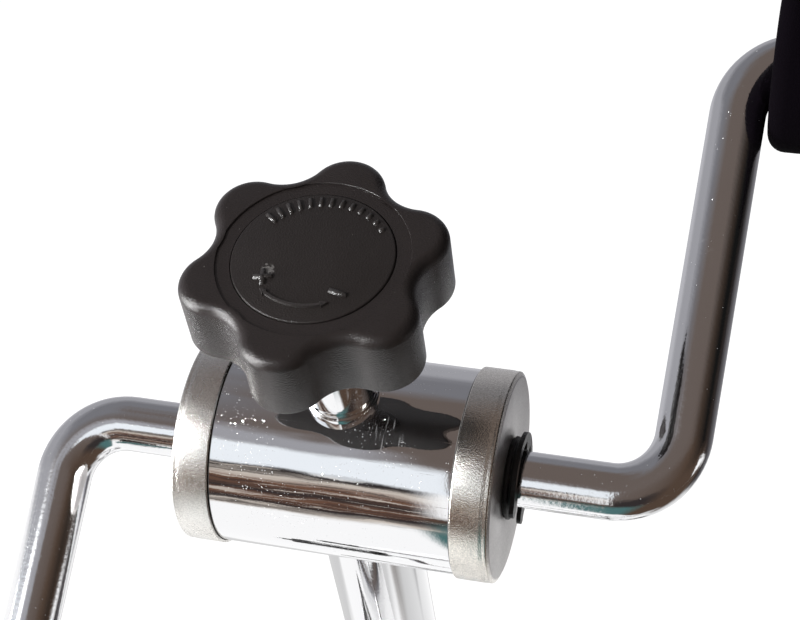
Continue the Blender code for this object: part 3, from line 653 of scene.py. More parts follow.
def face_marks(floor):
    """Generic raised marks: ticks of growing length, a plus, a minus and a double-headed arc."""
    marks = []
    ticks = 13
    for i in range(ticks):
        share = i / (ticks - 1)
        a = radians(36 + 106 * share)
        length = (1.4 + 2.0 * share) * MM
        middle = 17.0 * MM - length / 2
        marks.append(raised_bar((middle * cos(a), middle * sin(a)), a, length, 1.0 * MM, floor))
    plus = (-9.4 * MM, -7.1 * MM)
    minus = (8.0 * MM, -9.1 * MM)
    for centre, angle in ((plus, 0.2), (plus, 0.2 + pi / 2), (minus, -0.2)):
        marks.append(raised_bar(centre, angle, 4.4 * MM, 1.2 * MM, floor))
    radius = 13.8 * MM
    start = radians(-126)
    end = radians(-66)
    marks.append(raised_arc(radius, start, end, 0.8 * MM, floor))
    for a, way in ((start, -pi / 2), (end, pi / 2)):
        marks.append(raised_arrow((radius * cos(a), radius * sin(a)), a + way, 1.3 * MM, floor))
    return marks


# Hub units


def cap_corners():
    """Section of an end cap: the flat face, the stepped rim, the skirt over the hub tube and the bore."""
    end = HUB_HALF_LENGTH
    start = end - CAP_WIDTH
    inner_face = end - CAP_FACE
    skirt = HUB_RADIUS + 0.1 * MM
    return [
        (CAP_BORE, end - 0.15 * MM, 0.2 * MM), (CAP_BORE + 1.0 * MM, end, 0),
        (CAP_RADIUS - 1.5 * MM, end, 0.4 * MM), (CAP_RADIUS - 0.05 * MM, end - 0.55 * MM, 0.5 * MM),
        (CAP_RADIUS - 0.1 * MM, end - 1.5 * MM, 0.3 * MM), (CAP_RADIUS, end - 2.4 * MM, 0.5 * MM),
        (CAP_RADIUS, start, 0.3 * MM), (skirt, start, 0.1 * MM), (skirt, inner_face, 0),
        (CAP_BORE, inner_face, 0.1 * MM)]


def bush_solid():
    """Bush in a hub's end, with a thin flange and a short nose."""
    face = HUB_HALF_LENGTH + GAP
    flange = face + BUSH_FLANGE
    nose = face + BUSH_NOSE
    return turned([
        (SHAFT_BORE, BUSH_START, 0), (BUSH_RADIUS, BUSH_START, 0), (BUSH_RADIUS, face, 0),
        (BUSH_FLANGE_RADIUS, face, 0.2 * MM), (BUSH_FLANGE_RADIUS, flange, 0.35 * MM),
        (BUSH_NOSE_RADIUS, flange, 0.2 * MM), (BUSH_NOSE_RADIUS, nose, 0.3 * MM),
        (SHAFT_BORE, nose, 0.2 * MM)], True, 72)


def boss_solid():
    """Threaded boss: a flange on the hub, a bead above it and a plain barrel."""
    foot = 23.5 * MM
    return turned([
        (SCREW_BORE, foot, 0), (BOSS_FLANGE - 0.2 * MM, foot, 0), (BOSS_FLANGE, 26.2 * MM, 0.5 * MM),
        (BOSS_FLANGE - 0.1 * MM, 27.3 * MM, 0.5 * MM), (BOSS_RADIUS, 27.9 * MM, 0.3 * MM),
        (BOSS_RADIUS + 0.35 * MM, 28.7 * MM, 0.4 * MM), (BOSS_RADIUS, 29.5 * MM, 0.4 * MM),
        (BOSS_RADIUS, BOSS_TOP, 1.0 * MM), (SCREW_BORE, BOSS_TOP, 0.3 * MM)], True, 96)


def tension_knob():
    """Star knob with a neck below, and a ring groove and a pocket for the face disc above."""
    pocket = DISC_RADIUS + 0.2 * MM
    floor = KNOB_TOP - 3.0 * MM
    groove = KNOB_TOP - 0.45 * MM
    end = KNOB_BOTTOM - 3 * MM
    neck = [(SCREW_BORE, end), (9.6 * MM, end), (10 * MM, end + 0.4 * MM), (10 * MM, KNOB_BOTTOM)]
    face = [(FACE_RING + 0.12 * MM, KNOB_TOP), (FACE_RING, KNOB_TOP - 0.12 * MM), (FACE_RING, groove),
            (pocket, groove), (pocket, floor), (SCREW_BORE, floor)]
    return star_knob(1.0, KNOB_BOTTOM, KNOB_TOP, KNOB_EDGE, neck, 14, face)


def clip_solid():
    """Open ring with a wide mouth, prongs that reach in to the shaft and two rounded ends.

    Its angles are in degrees, and the mouth is at 0.
    """
    mouth = CLIP_MOUTH
    prong = CLIP_PRONG
    far = 360 - mouth

    def arc(radius, first, last, steps):
        turns = [radians(first + (last - first) * i / steps) for i in range(steps + 1)]
        return [Vector((radius * cos(a), radius * sin(a), 0)) for a in turns]

    def tip(at, way):
        """Rounded end of the ring, bulging outwards past its rim."""
        a = radians(at)
        centre = Vector((CLIP_MIDDLE * cos(a), CLIP_MIDDLE * sin(a), 0))
        turns = [a + way * radians(-10 + 25 * i) for i in range(7)]
        return [centre + CLIP_TIP * Vector((cos(b), sin(b), 0)) for b in turns]

    outline = arc(CLIP_RADIUS, mouth + 12, far - 12, 60) + tip(far - 3, 1)
    outline += arc(SHAFT_BORE, far, far - prong, 8) + arc(CLIP_INNER, far - prong, 195, 24)
    outline += arc(SHAFT_BORE, 195, 165, 8) + arc(CLIP_INNER, 165, mouth + prong, 24)
    outline += arc(SHAFT_BORE, mouth + prong, mouth, 8) + list(reversed(tip(mouth + 3, -1)))
    rings = [[point + Vector((0, 0, height)) for point in outline] for height in (CLIP_START, CLIP_END)]
    return lofted(rings, False)


def crank_path():
    """Axis of the bent rod: left grip, left arm, shaft, right arm and right grip."""
    bend_steps = 20
    reach = sin(ARM_LEAN) * CRANK_LENGTH
    rise = cos(ARM_LEAN) * CRANK_LENGTH
    corners = [Vector(c) for c in (
        (-HANDLE_END, 0, -rise), (-CRANK_LEFT - reach, 0, -rise), (-CRANK_LEFT, 0, 0),
        (CRANK_RIGHT, 0, 0), (CRANK_RIGHT + reach, 0, rise), (HANDLE_END, 0, rise))]
    path = [corners[0]]
    for before, corner, after in zip(corners, corners[1:], corners[2:]):
        path += arc_corner(before, corner, after, BEND_RADIUS, bend_steps)
    path.append(corners[-1])
    return path


def dress_hub(prefix, unit, arm_angle, hub_body):
    """Hub tube, caps, bushes, boss, knob and crank of one unit. Returns the crank's matrix and rise."""
    half = HUB_HALF_LENGTH - CAP_FACE - GAP
    inner = HUB_RADIUS - HUB_WALL
    tube = turned([
        (HUB_RADIUS, -half, 0.3 * MM), (HUB_RADIUS, half, 0.3 * MM),
        (inner, half, 0.3 * MM), (inner, -half, 0.3 * MM)], True, 160)
    piece(prefix + "_hub_tube", [tube], CHROME_HUB, hub_body, prefix + "_hub_shell", matrix=unit @ AXIS_X)
    for side, flip, _ in SIDES:
        at = unit @ flip
        cap = turned(cap_corners(), True, 160)
        # The left cap takes the lighter copy of the nickel: painted light
        satin = SATIN_RIGHT if side == "right" else SATIN_LEFT_LIT
        piece(f"{prefix}_end_cap_{side}", [cap], satin, hub_body, f"{prefix}_hub_cap_{side}", matrix=at)
        bush = f"{prefix}_bush_{side}"
        piece(f"{prefix}_shaft_bush_{side}", [bush_solid()], PLASTIC, hub_body, bush, matrix=at)
    piece(prefix + "_boss", [boss_solid()], CHROME_Z, hub_body, prefix + "_tension_boss", matrix=unit)

    body = prefix + "_knob"
    turn = Matrix.Rotation(KNOB_TURN, 4, "Z")
    piece(prefix + "_star_knob", [tension_knob()], KNOB, body, prefix + "_tension_knob", matrix=unit @ turn)
    top = KNOB_TOP - 0.1 * MM
    disc = turned([
        (DISC_RADIUS, KNOB_TOP - 2.8 * MM, 0), (DISC_RADIUS, top, 0.38 * MM), (4 * MM, top, 0)], False, 128)
    piece(prefix + "_face_disc", [disc], FACE, body, prefix + "_knob_disc", matrix=unit)
    piece(prefix + "_face_marks", face_marks(top), MARKS, body, matrix=unit, sharp=75)

    crank = unit @ Matrix.Rotation(-arm_angle, 4, "X")
    body = prefix + "_crank"
    bar = path_rod(crank_path(), ROD_RADIUS, 56)
    piece(prefix + "_crank_rod", [bar], CHROME_PITTED, body, prefix + "_crank", matrix=crank)
    for side, flip, _ in SIDES:
        name = f"{prefix}_spring_clip_{side}"
        piece(name, [clip_solid()], BLACK_STEEL, body, f"{prefix}_clip_{side}", matrix=crank @ flip)
    return crank, cos(ARM_LEAN) * CRANK_LENGTH


# Handles and pedals


def foam_solid():
    """Foam grip with soft ends and a slightly uneven skin. Its long side gets rings enough to swell."""
    bore = 9.8 * MM
    edge = 4.5 * MM
    swell = 0.16 * MM
    waves = 90
    rings = 40
    outline = rounded([
        (bore, FOAM_START + 2.6 * MM, 0.5 * MM), (13.4 * MM, FOAM_START, 0.8 * MM),
        (FOAM_RADIUS, FOAM_START, edge), (FOAM_RADIUS, FOAM_END, edge), (bore, FOAM_END, 0.5 * MM)], True, 8)
    profile = []
    for i, (r, h) in enumerate(outline):
        profile.append((r, h))
        after = outline[(i + 1) % len(outline)]
        if abs(after[1] - h) > 40 * MM and r > 15 * MM:
            profile += [(r, h + (after[1] - h) * j / rings) for j in range(1, rings)]
    points, faces = lofted([circle(r, h, 96) for r, h in profile], True)
    moved = []
    for point in points:
        flat = Vector((point.x, point.y, 0))
        if flat.length > 14 * MM:
            point = point + flat.normalized() * swell * (noise.noise(point * waves) - 1)
        moved.append(point)
    return moved, faces


def dress_handles(crank, rise):
    start = FOAM_END + 0.6 * MM
    end = HANDLE_END + 3.0 * MM
    cap = turned([
        (SHAFT_BORE, start, 0), (12.0 * MM, start, 0.3 * MM), (12.0 * MM, end - 2.0 * MM, 1.8 * MM),
        (9.0 * MM, end, 1.2 * MM), (0.3 * MM, end, 0)], False, 72)
    foam = foam_solid()
    for side, flip, sign in SIDES:
        at = crank @ Matrix.Translation((0, 0, sign * rise)) @ flip
        grip = piece("grip_foam_" + side, [foam], FOAM, "grip_" + side, "foam_grip_" + side, matrix=at)
        piece("grip_cap_" + side, [cap], PLASTIC, "upper_crank", "handle_cap_" + side, matrix=at)


def pedal_solids():
    """Open pedal: a rim, two cross bars and a ribbed middle. Also returns half its width."""
    half = (PEDAL_END - PEDAL_START) / 2
    edge = 1.2 * MM
    inner_x = 33 * MM
    inner_y = 37.5 * MM
    levels = [(edge, PEDAL_BOTTOM), (0.3 * edge, PEDAL_BOTTOM + 0.3 * edge), (0, PEDAL_BOTTOM + edge),
              (0, PEDAL_TOP - edge), (0.3 * edge, PEDAL_TOP - 0.3 * edge), (edge, PEDAL_TOP)]
    rings = []
    for inset, height in levels:
        rings.append(rounded_rectangle(half - inset, PEDAL_HALF_LENGTH - inset, 10 * MM - inset, height))
    for height in (PEDAL_TOP, PEDAL_BOTTOM):
        rings.append(rounded_rectangle(inner_x, inner_y, 4 * MM, height))
    solids = [lofted(rings, True)]
    deck = PEDAL_TOP - 0.9 * MM
    reach = inner_x + 0.5 * MM
    bar = soft_block(reach, 4.0 * MM, 0.8 * MM, PEDAL_BOTTOM + 3 * MM, deck, 0.8 * MM)
    for y in (-26.5 * MM, 26.5 * MM):
        solids.append(place(bar, Matrix.Translation((0, y, 0))))
    solids.append(soft_block(reach, 15.5 * MM, 1.0 * MM, PEDAL_BOTTOM + 1 * MM, deck, 1.0 * MM))
    rib = soft_block(1.5 * MM, 14.0 * MM, 1.4 * MM, deck - 1 * MM, PEDAL_TOP, 0.7 * MM)
    for i in range(9):
        solids.append(place(rib, Matrix.Translation(((i - 4) * 7.4 * MM, 0, 0))))
    return solids, half


def strap_solid(half):
    """Arched rubber band with rounded edges, from peg to peg."""
    leg = half + GAP + STRAP_THICK / 2
    path = [Vector((-leg, 0, -STRAP_DROP + (STRAP_SHOULDER + STRAP_DROP) * i / 8)) for i in range(8)]
    arch = 48
    for i in range(arch + 1):
        a = pi - pi * i / arch
        path.append(Vector((leg * cos(a), 0, STRAP_SHOULDER + (STRAP_RISE - STRAP_SHOULDER) * sin(a))))
    path += [Vector((-point.x, 0, point.z)) for point in reversed(path[:8])]
    section = rounded_rectangle(STRAP_THICK / 2, STRAP_HALF_WIDTH, 0.9 * MM, 0, 3)
    rings = []
    for i, point in enumerate(path):
        along = (path[min(i + 1, len(path) - 1)] - path[max(i - 1, 0)]).normalized()
        out = Vector((-along.z, 0, along.x))
        rings.append([point + out * thick + Vector((0, wide, 0)) for thick, wide, _ in section])
    return lofted(rings, False)


def dress_pedals(crank, rise):
    middle = (PEDAL_START + PEDAL_END) / 2
    solids, half = pedal_solids()
    peg = turned([
        (2.5 * MM, -1 * MM, 0), (2.5 * MM, 2.9 * MM, 0), (4.6 * MM, 2.9 * MM, 0.3 * MM),
        (3.6 * MM, 4.4 * MM, 0.8 * MM), (0.3 * MM, 4.4 * MM, 0)], False, 32)
    start = PEDAL_NUT_START
    nut = turned([
        (SHAFT_BORE, start, 0), (11 * MM, start, 0.6 * MM), (11 * MM, start + 8 * MM, 1 * MM),
        (8 * MM, start + 13 * MM, 1.5 * MM), (0.3 * MM, start + 13 * MM, 0)], False, 64)
    for side, flip, sign in SIDES:
        end = crank @ Matrix.Translation((0, 0, sign * rise))
        at = end @ Matrix.Rotation(LOWER_ARM_ANGLE, 4, "X") @ Matrix.Translation((sign * middle, 0, 0))
        pegs = [place(peg, out @ Matrix.Translation((PEG_DROP, 0, half))) for _, out, _ in SIDES]
        body = "pedal_" + side
        piece("foot_pedal_" + side, solids + pegs, PLASTIC, body, body, matrix=at)
        piece("foot_strap_" + side, [strap_solid(half)], RUBBER, body, "pedal_strap_" + side, matrix=at)
        piece("axle_nut_" + side, [nut], STEEL, "lower_crank", "pedal_nut_" + side, matrix=end @ flip)


# Frame


def grooves(radius, depth, slope, heights):
    """Corners of a row of ring grooves with sloping sides and a flat floor."""
    flat = 0.8 * MM
    floor = radius - depth
    section = ((radius, 0), (floor, slope), (floor, slope + flat), (radius, slope + flat + slope))
    return [(r, height + h, 0.2 * MM) for height in heights for r, h in section]


def foot_solid(flip):
    """Rubber end shoe with grooves round it and a flat sole on the floor."""
    start = STABILISER_HALF - 28 * MM
    inside = TUBE_RADIUS + GAP
    corners = [(inside, STABILISER_HALF + GAP, 0), (inside, start, 0.3 * MM), (FOOT_RADIUS, start, 1.0 * MM)]
    corners += grooves(FOOT_RADIUS, 0.8 * MM, 0.5 * MM, [start + (7 + 5 * i) * MM for i in range(3)])
    corners += [(FOOT_RADIUS, FOOT_END, 4.5 * MM), (0.5 * MM, FOOT_END, 0)]
    points, faces = place(turned(corners, False, 80), flip)
    return [Vector((p.x, p.y, max(p.z, -TUBE_HEIGHT))) for p in points], faces


def bolt_solid():
    """Bolt with a domed head, through a stabiliser into the rail's end."""
    head = STABILISER_Y + TUBE_RADIUS - 0.3 * MM
    return turned([
        (4 * MM, STABILISER_Y - 25 * MM, 0), (4 * MM, head, 0), (8 * MM, head, 0.2 * MM),
        (7.6 * MM, head + 3.0 * MM, 1.2 * MM), (4.6 * MM, head + 5.2 * MM, 2 * MM),
        (0.3 * MM, head + 5.3 * MM, 0)], False, 48)


def round_side(radius, across):
    """How far a round tube's side stands off its axis, at a distance across."""
    return sqrt(max(radius ** 2 - across ** 2, 0.0))


def hub_under(x, y):
    """Height of a hub's underside, from its axis."""
    return -round_side(HUB_SEAT, y)


def dress_base():
    """Two stabilisers with their shoes and bolts, and the rail between them."""
    half = STABILISER_HALF
    tube = turned([
        (TUBE_RADIUS, -half, 0), (TUBE_RADIUS, half, 0),
        (TUBE_INNER, half, 0), (TUBE_INNER, -half, 0)], True, 96)
    level = Matrix.Translation((0, 0, TUBE_HEIGHT))
    for name, sign, way in (("front", 1, AXIS_Y), ("rear", -1, HALF_TURN @ AXIS_Y)):
        at = Matrix.Translation((0, sign * STABILISER_Y, TUBE_HEIGHT))
        piece(name + "_base_tube", [tube], CHROME_X, "frame", name + "_stabiliser", matrix=at @ AXIS_X)
        for side, flip, _ in SIDES:
            node = f"{name}_foot_{side}"
            piece(f"{name}_shoe_{side}", [foot_solid(flip)], RUBBER, "frame", node, matrix=at)
        piece(name + "_bolt_head", [bolt_solid()], CHROME_Z, "frame", name + "_bolt", matrix=level @ way)

    def rail_end(x, y):
        return STABILISER_Y - round_side(RAIL_SEAT, y)

    rail = coped_tube(TUBE_RADIUS, TUBE_INNER, lambda x, y: -rail_end(x, y), rail_end, 96)
    piece("base_tube", [rail], CHROME_Z, "frame", "base_rail", matrix=level @ AXIS_Y)


def dress_post():
    """Post of the pedal unit, with a weld bead at both ends."""
    def low(x, y):
        return round_side(RAIL_SEAT, x) - (LOWER_HUB_Z - TUBE_HEIGHT)

    post = coped_tube(COLUMN_RADIUS, COLUMN_INNER, low, hub_under)
    welds = [bead(COLUMN_RADIUS, low, 1.3 * MM), bead(COLUMN_RADIUS, hub_under, 1.2 * MM)]
    piece("post_tube", [post] + welds, CHROME_Z, "frame", "pedal_post", matrix=LOWER)


def collar_solid():
    """Ribbed plastic collar over the outer tube's top, with a sleeve inside that guides the column."""
    low = OUTER_TOP - 22 * MM
    lip = OUTER_TOP + GAP
    rim = lip + 5 * MM
    sleeve = OUTER_TOP - 15 * MM
    outside = 19.2 * MM
    over = TUBE_RADIUS + GAP
    inside = TUBE_INNER - GAP
    bore = COLUMN_RADIUS + GAP
    corners = [(over, low, 0.2 * MM), (outside, low, 0.5 * MM)]
    corners += grooves(outside, 0.6 * MM, 0.4 * MM, [low + (4 + 4 * i) * MM for i in range(4)])
    corners += [
        (outside, lip + 3 * MM, 1.0 * MM), (17.5 * MM, rim, 0.6 * MM), (bore, rim, 0.5 * MM),
        (bore, sleeve, 0), (inside, sleeve, 0), (inside, lip, 0), (over, lip, 0)]
    return turned(corners, True, 96)


def dress_mast():
    """Outer tube, the column that slides in it up to the upper hub, and the collar."""
    def low(x, y):
        return (round_side(RAIL_SEAT, x) - y * sin(MAST_LEAN)) / cos(MAST_LEAN)

    def top(x, y):
        return MAST_LENGTH + hub_under(x, y)

    outer = [coped_tube(TUBE_RADIUS, TUBE_INNER, low, lambda x, y: OUTER_TOP, 96)]
    outer.append(bead(TUBE_RADIUS, low, 1.4 * MM))
    piece("outer_mast_tube", outer, CHROME_Z, "frame", "mast_outer", matrix=MAST)
    column = [coped_tube(COLUMN_RADIUS, COLUMN_INNER, lambda x, y: INNER_BOTTOM, top, 112)]
    column.append(bead(COLUMN_RADIUS, top, 0.9 * MM))
    piece("inner_mast_tube", column, CHROME_Z, "mast", "mast_inner", matrix=MAST)
    piece("collar_ring", [collar_solid()], PLASTIC, "frame", "mast_collar", matrix=MAST)


def dress_clamp():
    """Sleeve on the outer tube, and the clamp's small star knob."""
    at = MAST @ Matrix.Translation((0, 0, CLAMP_AT)) @ AXIS_Y
    low = 14.8 * MM
    sleeve = turned([
        (SCREW_BORE, low, 0), (CLAMP_BOSS_RADIUS, low, 0), (CLAMP_BOSS_RADIUS, CLAMP_BOSS_END, 0.8 * MM),
        (SCREW_BORE, CLAMP_BOSS_END, 0.3 * MM)], True, 72)
    piece("clamp_sleeve", [sleeve], CHROME_Z, "frame", "clamp_boss", matrix=at)
    start = CLAMP_KNOB_START
    top = CLAMP_KNOB_END
    dish = top - 0.6 * MM
    neck = [(SCREW_BORE, start), (8.6 * MM, start), (9 * MM, start + 0.4 * MM), (9 * MM, start + 4.5 * MM)]
    face = [(14 * MM, top), (13.4 * MM, dish), (9.5 * MM, dish), (9 * MM, top), (SCREW_BORE, top)]
    knob = star_knob(CLAMP_KNOB_SCALE, start + 5 * MM, top, 1.6 * MM, neck, 9, face)
    piece("clamp_star_knob", [knob], KNOB, "clamp_knob", "clamp_knob", matrix=at)


CAD_FINISH = {
    "upper_brake_sleeve": NYLON, "lower_brake_sleeve": NYLON, "clamp_pad": NYLON,
    "upper_pressure_pad": STEEL, "lower_pressure_pad": STEEL, "upper_tension_screw": STEEL,
    "lower_tension_screw": STEEL, "clamp_screw": STEEL, "mast_guide": PLASTIC, "grip_sleeve_left": PLASTIC,
    "grip_sleeve_right": PLASTIC, "post_gusset": CHROME_Z, "mast_gusset": CHROME_Z,
}


def finish_cad_nodes():
    """Gives the CAD nodes that stay shown their procedural finishes."""
    for name, material in CAD_FINISH.items():
        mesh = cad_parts[name].data
        mesh.materials.clear()
        mesh.materials.append(material)


# Studio. Bearings and elevations are in degrees about the upper hub.
# Bearing 0 is the user's side (-Y), and 90 is +X.

FLOOR_TONE = (0.42, 0.42, 0.42)
FLOOR_LIFT = (0.88, 0.88, 0.88)
FLOOR_NEAR = 0.72
LIFT_NEAR = 0.35
LIFT_FAR = 1.3
FLOOR_HALF = 3.4
SOFT_FROM = Vector((-0.80, -0.45, 0.35)).normalized()
SOFT_LOW = 0.12
SOFT_HIGH = 0.60
CARD_RADIUS = 1.8
RING_INSIDE = 0.24
RING_GAP = 2 * MM
LAMP_DISTANCE = 1.45
CHROME_MIRRORS = 0.88


def tone(red, green, blue):
    """Linear colour that chrome mirrors as this sRGB colour, given in parts of 255."""
    parts = [value / 255 for value in (red, green, blue)]
    linear = [v / 12.92 if v < 0.04045 else ((v + 0.055) / 1.055) ** 2.4 for v in parts]
    return tuple(v / CHROME_MIRRORS for v in linear)


def studio_world():
    """White to the camera and in mirrors, otherwise a plain light, stronger from the window's side."""
    world = bpy.data.worlds.new("studio")
    bpy.context.scene.world = world
    world.use_nodes = True
    t = Tree(world.node_tree)
    direction = t.node("TexCoord", {}).outputs["Generated"]
    towards = t.vector("DOT_PRODUCT", direction, SOFT_FROM)["Value"]
    soft = t.scaled(towards, -1.0, 1.0, SOFT_LOW, SOFT_HIGH)
    strength = t.math("MAXIMUM", t.seen(), soft)
    background = t.node("Background", {"Color": (1.0, 1.0, 1.0), "Strength": strength})
    t.finish(background, "OutputWorld")


# Plain sRGB tones of the painted room, in parts of 255
SKY = (235, 240, 245)
FLOOR_LIT = (250, 250, 250)
FLOOR_SHADE = (205, 205, 205)
WALL_LOW = (180, 180, 185)
WALL = (155, 155, 160)
WALL_SHADE = (115, 115, 120)
CEILING = (100, 90, 85)
PALE = (200, 190, 180)
BROWN = (110, 80, 65)
WOOD = (80, 65, 55)
DARK = (50, 45, 45)
CORNER = (20, 20, 20)
TEAL = (75, 110, 110)
# What stands at each bearing, from a dark corner on the right to a lit wall on the left and behind
ROOM_TOP = ((-180, CEILING), (180, CEILING))
ROOM_UPPER = (
    (-75, WALL_SHADE), (-30, CEILING), (45, CEILING), (85, CORNER), (160, CORNER), (175, WALL_SHADE))
ROOM_MIDDLE = ((-30, WALL), (0, CEILING), (50, WOOD), (90, CORNER), (160, CORNER), (175, WALL))
ROOM_LOW = ((-30, WALL_LOW), (-5, WOOD), (5, DARK), (25, DARK), (45, WOOD), (90, WOOD), (110, DARK), (180, WALL))
ROOM_GROUND = (
    (-120, FLOOR_SHADE), (-105, FLOOR_LIT), (-10, FLOOR_LIT), (-5, TEAL), (15, TEAL), (35, WOOD), (95, WOOD),
    (115, FLOOR_SHADE), (180, FLOOR_LIT))
# Elevation of the window's upper edge at some bearings: one slanting side, a level top and a low sill
WINDOW_EDGE = (
    (-145, -32), (-40, 35), (-30, 30), (-1, 30), (1, -90), (80, -90), (85, -5), (125, -32), (180, -32))
# Shelves in front of the window, from 42 degrees below level up to 8 above
ITEMS_LOW = -42.0
ITEMS_HIGH = 8.0
ITEMS = ((0.0, PALE), (0.2, DARK), (0.35, BROWN), (0.45, DARK), (0.65, BROWN), (0.8, PALE), (0.9, DARK))


def room_material():
    """The room that the chrome mirrors, painted by bearing and elevation."""
    material, t = new_material("room")
    place = t.node("TexCoord", {}).outputs["Object"]
    direction = t.node("VectorMath", {0: place}, operation="NORMALIZE").outputs["Vector"]
    parts = t.axes(direction)
    ripple = t.clouds(direction, 5.0, 3.0)["Fac"]
    turn = 180 / pi
    bearing = t.times(t.math("ARCTAN2", parts["X"], t.times(parts["Y"], -1.0)), turn)
    around = t.scaled(bearing, -180.0, 180.0, 0.0, 1.0)
    height = t.plus(t.times(t.math("ARCSINE", parts["Z"]), turn), t.scaled(ripple, 0.0, 1.0, -7.0, 7.0))
    down = t.times(height, -1.0)

    def row(stops):
        return t.ramp(around, [((angle + 180) / 360, tone(*colour)) for angle, colour in stops])

    shade = t.band(bearing, 92.0, 104.0, 140.0, 150.0)
    raised = t.math("MULTIPLY_ADD", shade, 12.0, height)
    room = t.mix(t.step(raised, -36.0, -26.0), row(ROOM_GROUND), row(ROOM_LOW))
    for stops, low, high in ((ROOM_MIDDLE, -12.0, 6.0), (ROOM_UPPER, 22.0, 42.0), (ROOM_TOP, 56.0, 74.0)):
        room = t.mix(t.step(height, low, high), room, row(stops))

    white = t.mix(t.step(height, 0.0, 8.0), tone(*FLOOR_LIT), tone(*SKY))
    edge = t.ramp(around, [((angle + 180) / 360, ((value + 90) / 180,) * 3) for angle, value in WINDOW_EDGE])
    under = t.math("SUBTRACT", t.scaled(edge, 0.0, 1.0, -90.0, 90.0), height)
    window = t.step(under, -2.5, 4.0)
    stripe = t.times(t.step(around, 0.72, 0.74), t.step(under, 16.0, 30.0))
    teal = t.times(t.step(bearing, -8.0, -4.0), t.step(down, 20.0, 26.0))
    bright = t.math("SUBTRACT", window, t.times(stripe, 0.75))
    room = t.mix(t.times(bright, t.inverted(teal)), room, white)

    pale = t.times(t.band(bearing, -46.0, -36.0, -16.0, -4.0), t.inverted(t.step(height, 38.0, 47.0)))
    room = t.mix(t.times(pale, t.inverted(window)), room, tone(*WALL))

    spread = t.node("CombineXYZ", {"X": t.times(height, 0.50), "Y": t.times(around, 20.0)})
    streaks = t.clouds(spread.outputs[0], 1.0)["Fac"]
    share = t.scaled(height, ITEMS_LOW, ITEMS_HIGH, 0.0, 1.0)
    items = t.ramp(share, [(position, tone(*colour)) for position, colour in ITEMS])
    items = t.mix(t.times(t.step(streaks, 0.55, 0.62), 0.75), items, tone(*PALE))
    items = t.mix(t.times(t.step(streaks, 0.46, 0.38), 0.6), items, tone(*DARK))
    front = t.band(bearing, -52.0, -34.0, -6.0, -1.0)
    room = t.mix(t.times(front, t.band(height, -44.0, -38.0, 4.0, ITEMS_HIGH)), room, items)

    behind = t.inverted(t.step(bearing, -116.0, -108.0))
    room = t.mix(t.times(behind, t.band(down, 29.0, 34.0, 52.0, 58.0)), room, tone(*FLOOR_SHADE))
    room = t.mix(t.step(down, 65.0, 71.0), room, tone(*FLOOR_LIT))
    soft = t.times(t.band(bearing, 60.0, 74.0, 84.0, 98.0), t.step(down, 56.0, 66.0))
    room = t.mix(soft, room, tone(*FLOOR_SHADE))
    t.finish(t.node("Emission", {"Color": room}))
    return material


def room_card(name, mesh, material):
    """A stage piece that only mirrors show, placed about the upper hub."""
    mesh.materials.append(material)
    obj = added(name, mesh)
    obj.location = UPPER.translation
    obj.visible_camera = False
    obj.visible_diffuse = False
    obj.visible_transmission = False
    obj.visible_volume_scatter = False
    obj.visible_shadow = False


def room_cards():
    """A round card about the machine down to the floor, and a flat ring of it on the floor."""
    material = room_material()
    floor_level = RING_GAP - UPPER.translation.z
    work = bmesh.new()
    bmesh.ops.create_uvsphere(work, u_segments=96, v_segments=64, radius=CARD_RADIUS)
    everything = work.verts[:] + work.edges[:] + work.faces[:]
    bmesh.ops.bisect_plane(
        work, geom=everything, plane_co=(0, 0, floor_level), plane_no=(0, 0, -1), clear_outer=True)
    mesh = bpy.data.meshes.new("room_card")
    work.to_mesh(mesh)
    work.free()
    room_card("room_card", mesh, material)

    ring_outside = sqrt(CARD_RADIUS ** 2 - UPPER.translation.z ** 2)
    steps = 48
    points = []
    for i in range(steps + 1):
        bearing = 2 * pi * i / steps
        for reach in (RING_INSIDE, ring_outside):
            points.append((reach * sin(bearing), -reach * cos(bearing), floor_level))
    faces = [(2 * i, 2 * i + 1, 2 * i + 3, 2 * i + 2) for i in range(steps)]
    mesh = bpy.data.meshes.new("room_ring")
    mesh.from_pydata(points, [], faces)
    room_card("room_ring", mesh, material)


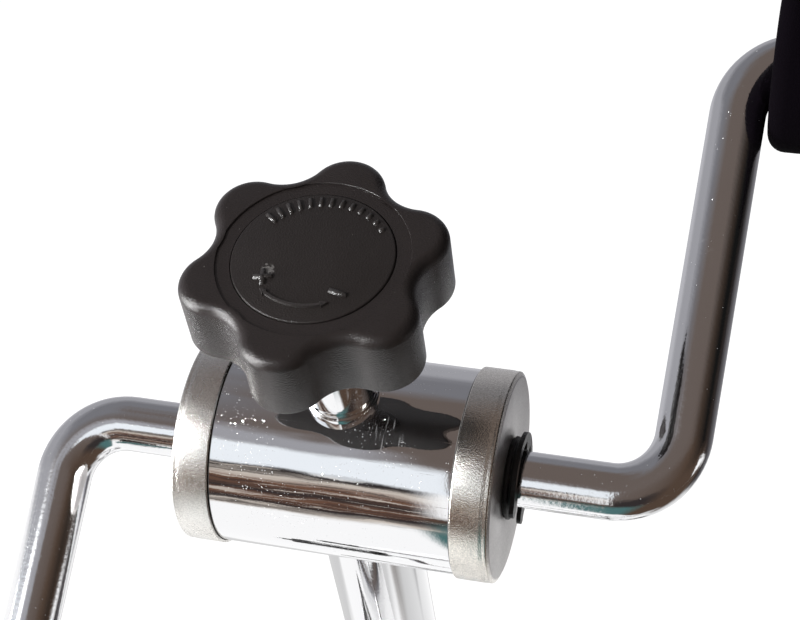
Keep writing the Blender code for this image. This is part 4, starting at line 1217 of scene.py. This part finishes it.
def studio_floor():
    """Pale floor that is near white to the camera and in mirrors, and keeps the shadow."""
    material, t = new_material("floor")
    away = t.node("VectorMath", {0: t.coordinates()}, operation="LENGTH").outputs["Value"]
    level = t.times(t.seen(), t.scaled(away, LIFT_NEAR, LIFT_FAR, FLOOR_NEAR, 1.0))
    diffuse = t.node("BsdfDiffuse", {"Color": FLOOR_TONE})
    lift = t.node("Emission", {"Color": FLOOR_LIFT, "Strength": level})
    t.finish(t.node("AddShader", {0: diffuse.outputs[0], 1: lift.outputs[0]}))
    mesh = bpy.data.meshes.new("floor")
    half = FLOOR_HALF
    corners = [(-half, -half, 0), (half, -half, 0), (half, half, 0), (-half, half, 0)]
    mesh.from_pydata(corners, [], [(0, 1, 2, 3)])
    mesh.materials.append(material)
    obj = added("floor", mesh)


def lamp(name, bearing, elevation, width, height, power):
    """An area lamp that faces the upper hub."""
    a = radians(bearing)
    e = radians(elevation)
    way = Vector((sin(a) * cos(e), -cos(a) * cos(e), sin(e)))
    light = bpy.data.lights.new(name, "AREA")
    light.shape = "RECTANGLE"
    light.size = width
    light.size_y = height
    light.energy = power
    obj = added(name, light)
    obj.location = UPPER.translation + way * LAMP_DISTANCE
    obj.rotation_mode = "QUATERNION"
    obj.rotation_quaternion = way.to_track_quat("Z", "Y")


def photo_camera():
    """The photograph's camera, solved from the hub, knob, rods and column."""
    right = Vector((0.967947891, 0.251151111, 0.0))
    down = Vector((0.118939339, -0.458397663, -0.880752528))
    ahead = Vector((-0.221201976, 0.852522552, -0.473576798))
    from_hub = Vector((0.107425125, -0.369742488, 0.248191682))
    camera = bpy.data.cameras.new("photo_camera")
    camera.sensor_width = 36.0
    camera.lens = 82.2518
    camera.clip_start = 0.01
    obj = added("photo_camera", camera)
    pose = Matrix((right, -down, -ahead)).transposed().to_4x4()
    pose.translation = UPPER.translation + from_hub
    obj.matrix_world = pose
    bpy.context.scene.camera = obj


photo_camera()
crank, rise = dress_hub("upper", UPPER, UPPER_ARM_ANGLE, "mast")
dress_handles(crank, rise)
crank, rise = dress_hub("lower", LOWER, LOWER_ARM_ANGLE, "frame")
dress_pedals(crank, rise)
dress_base()
dress_post()
dress_mast()
dress_clamp()
finish_cad_nodes()
studio_world()
room_cards()
studio_floor()
lamp("window", -66, -6, 0.85, 0.60, 28.0)
lamp("key", -45, 22, 0.10, 0.10, 16.0)
bpy.context.scene.view_settings.view_transform = "Standard"
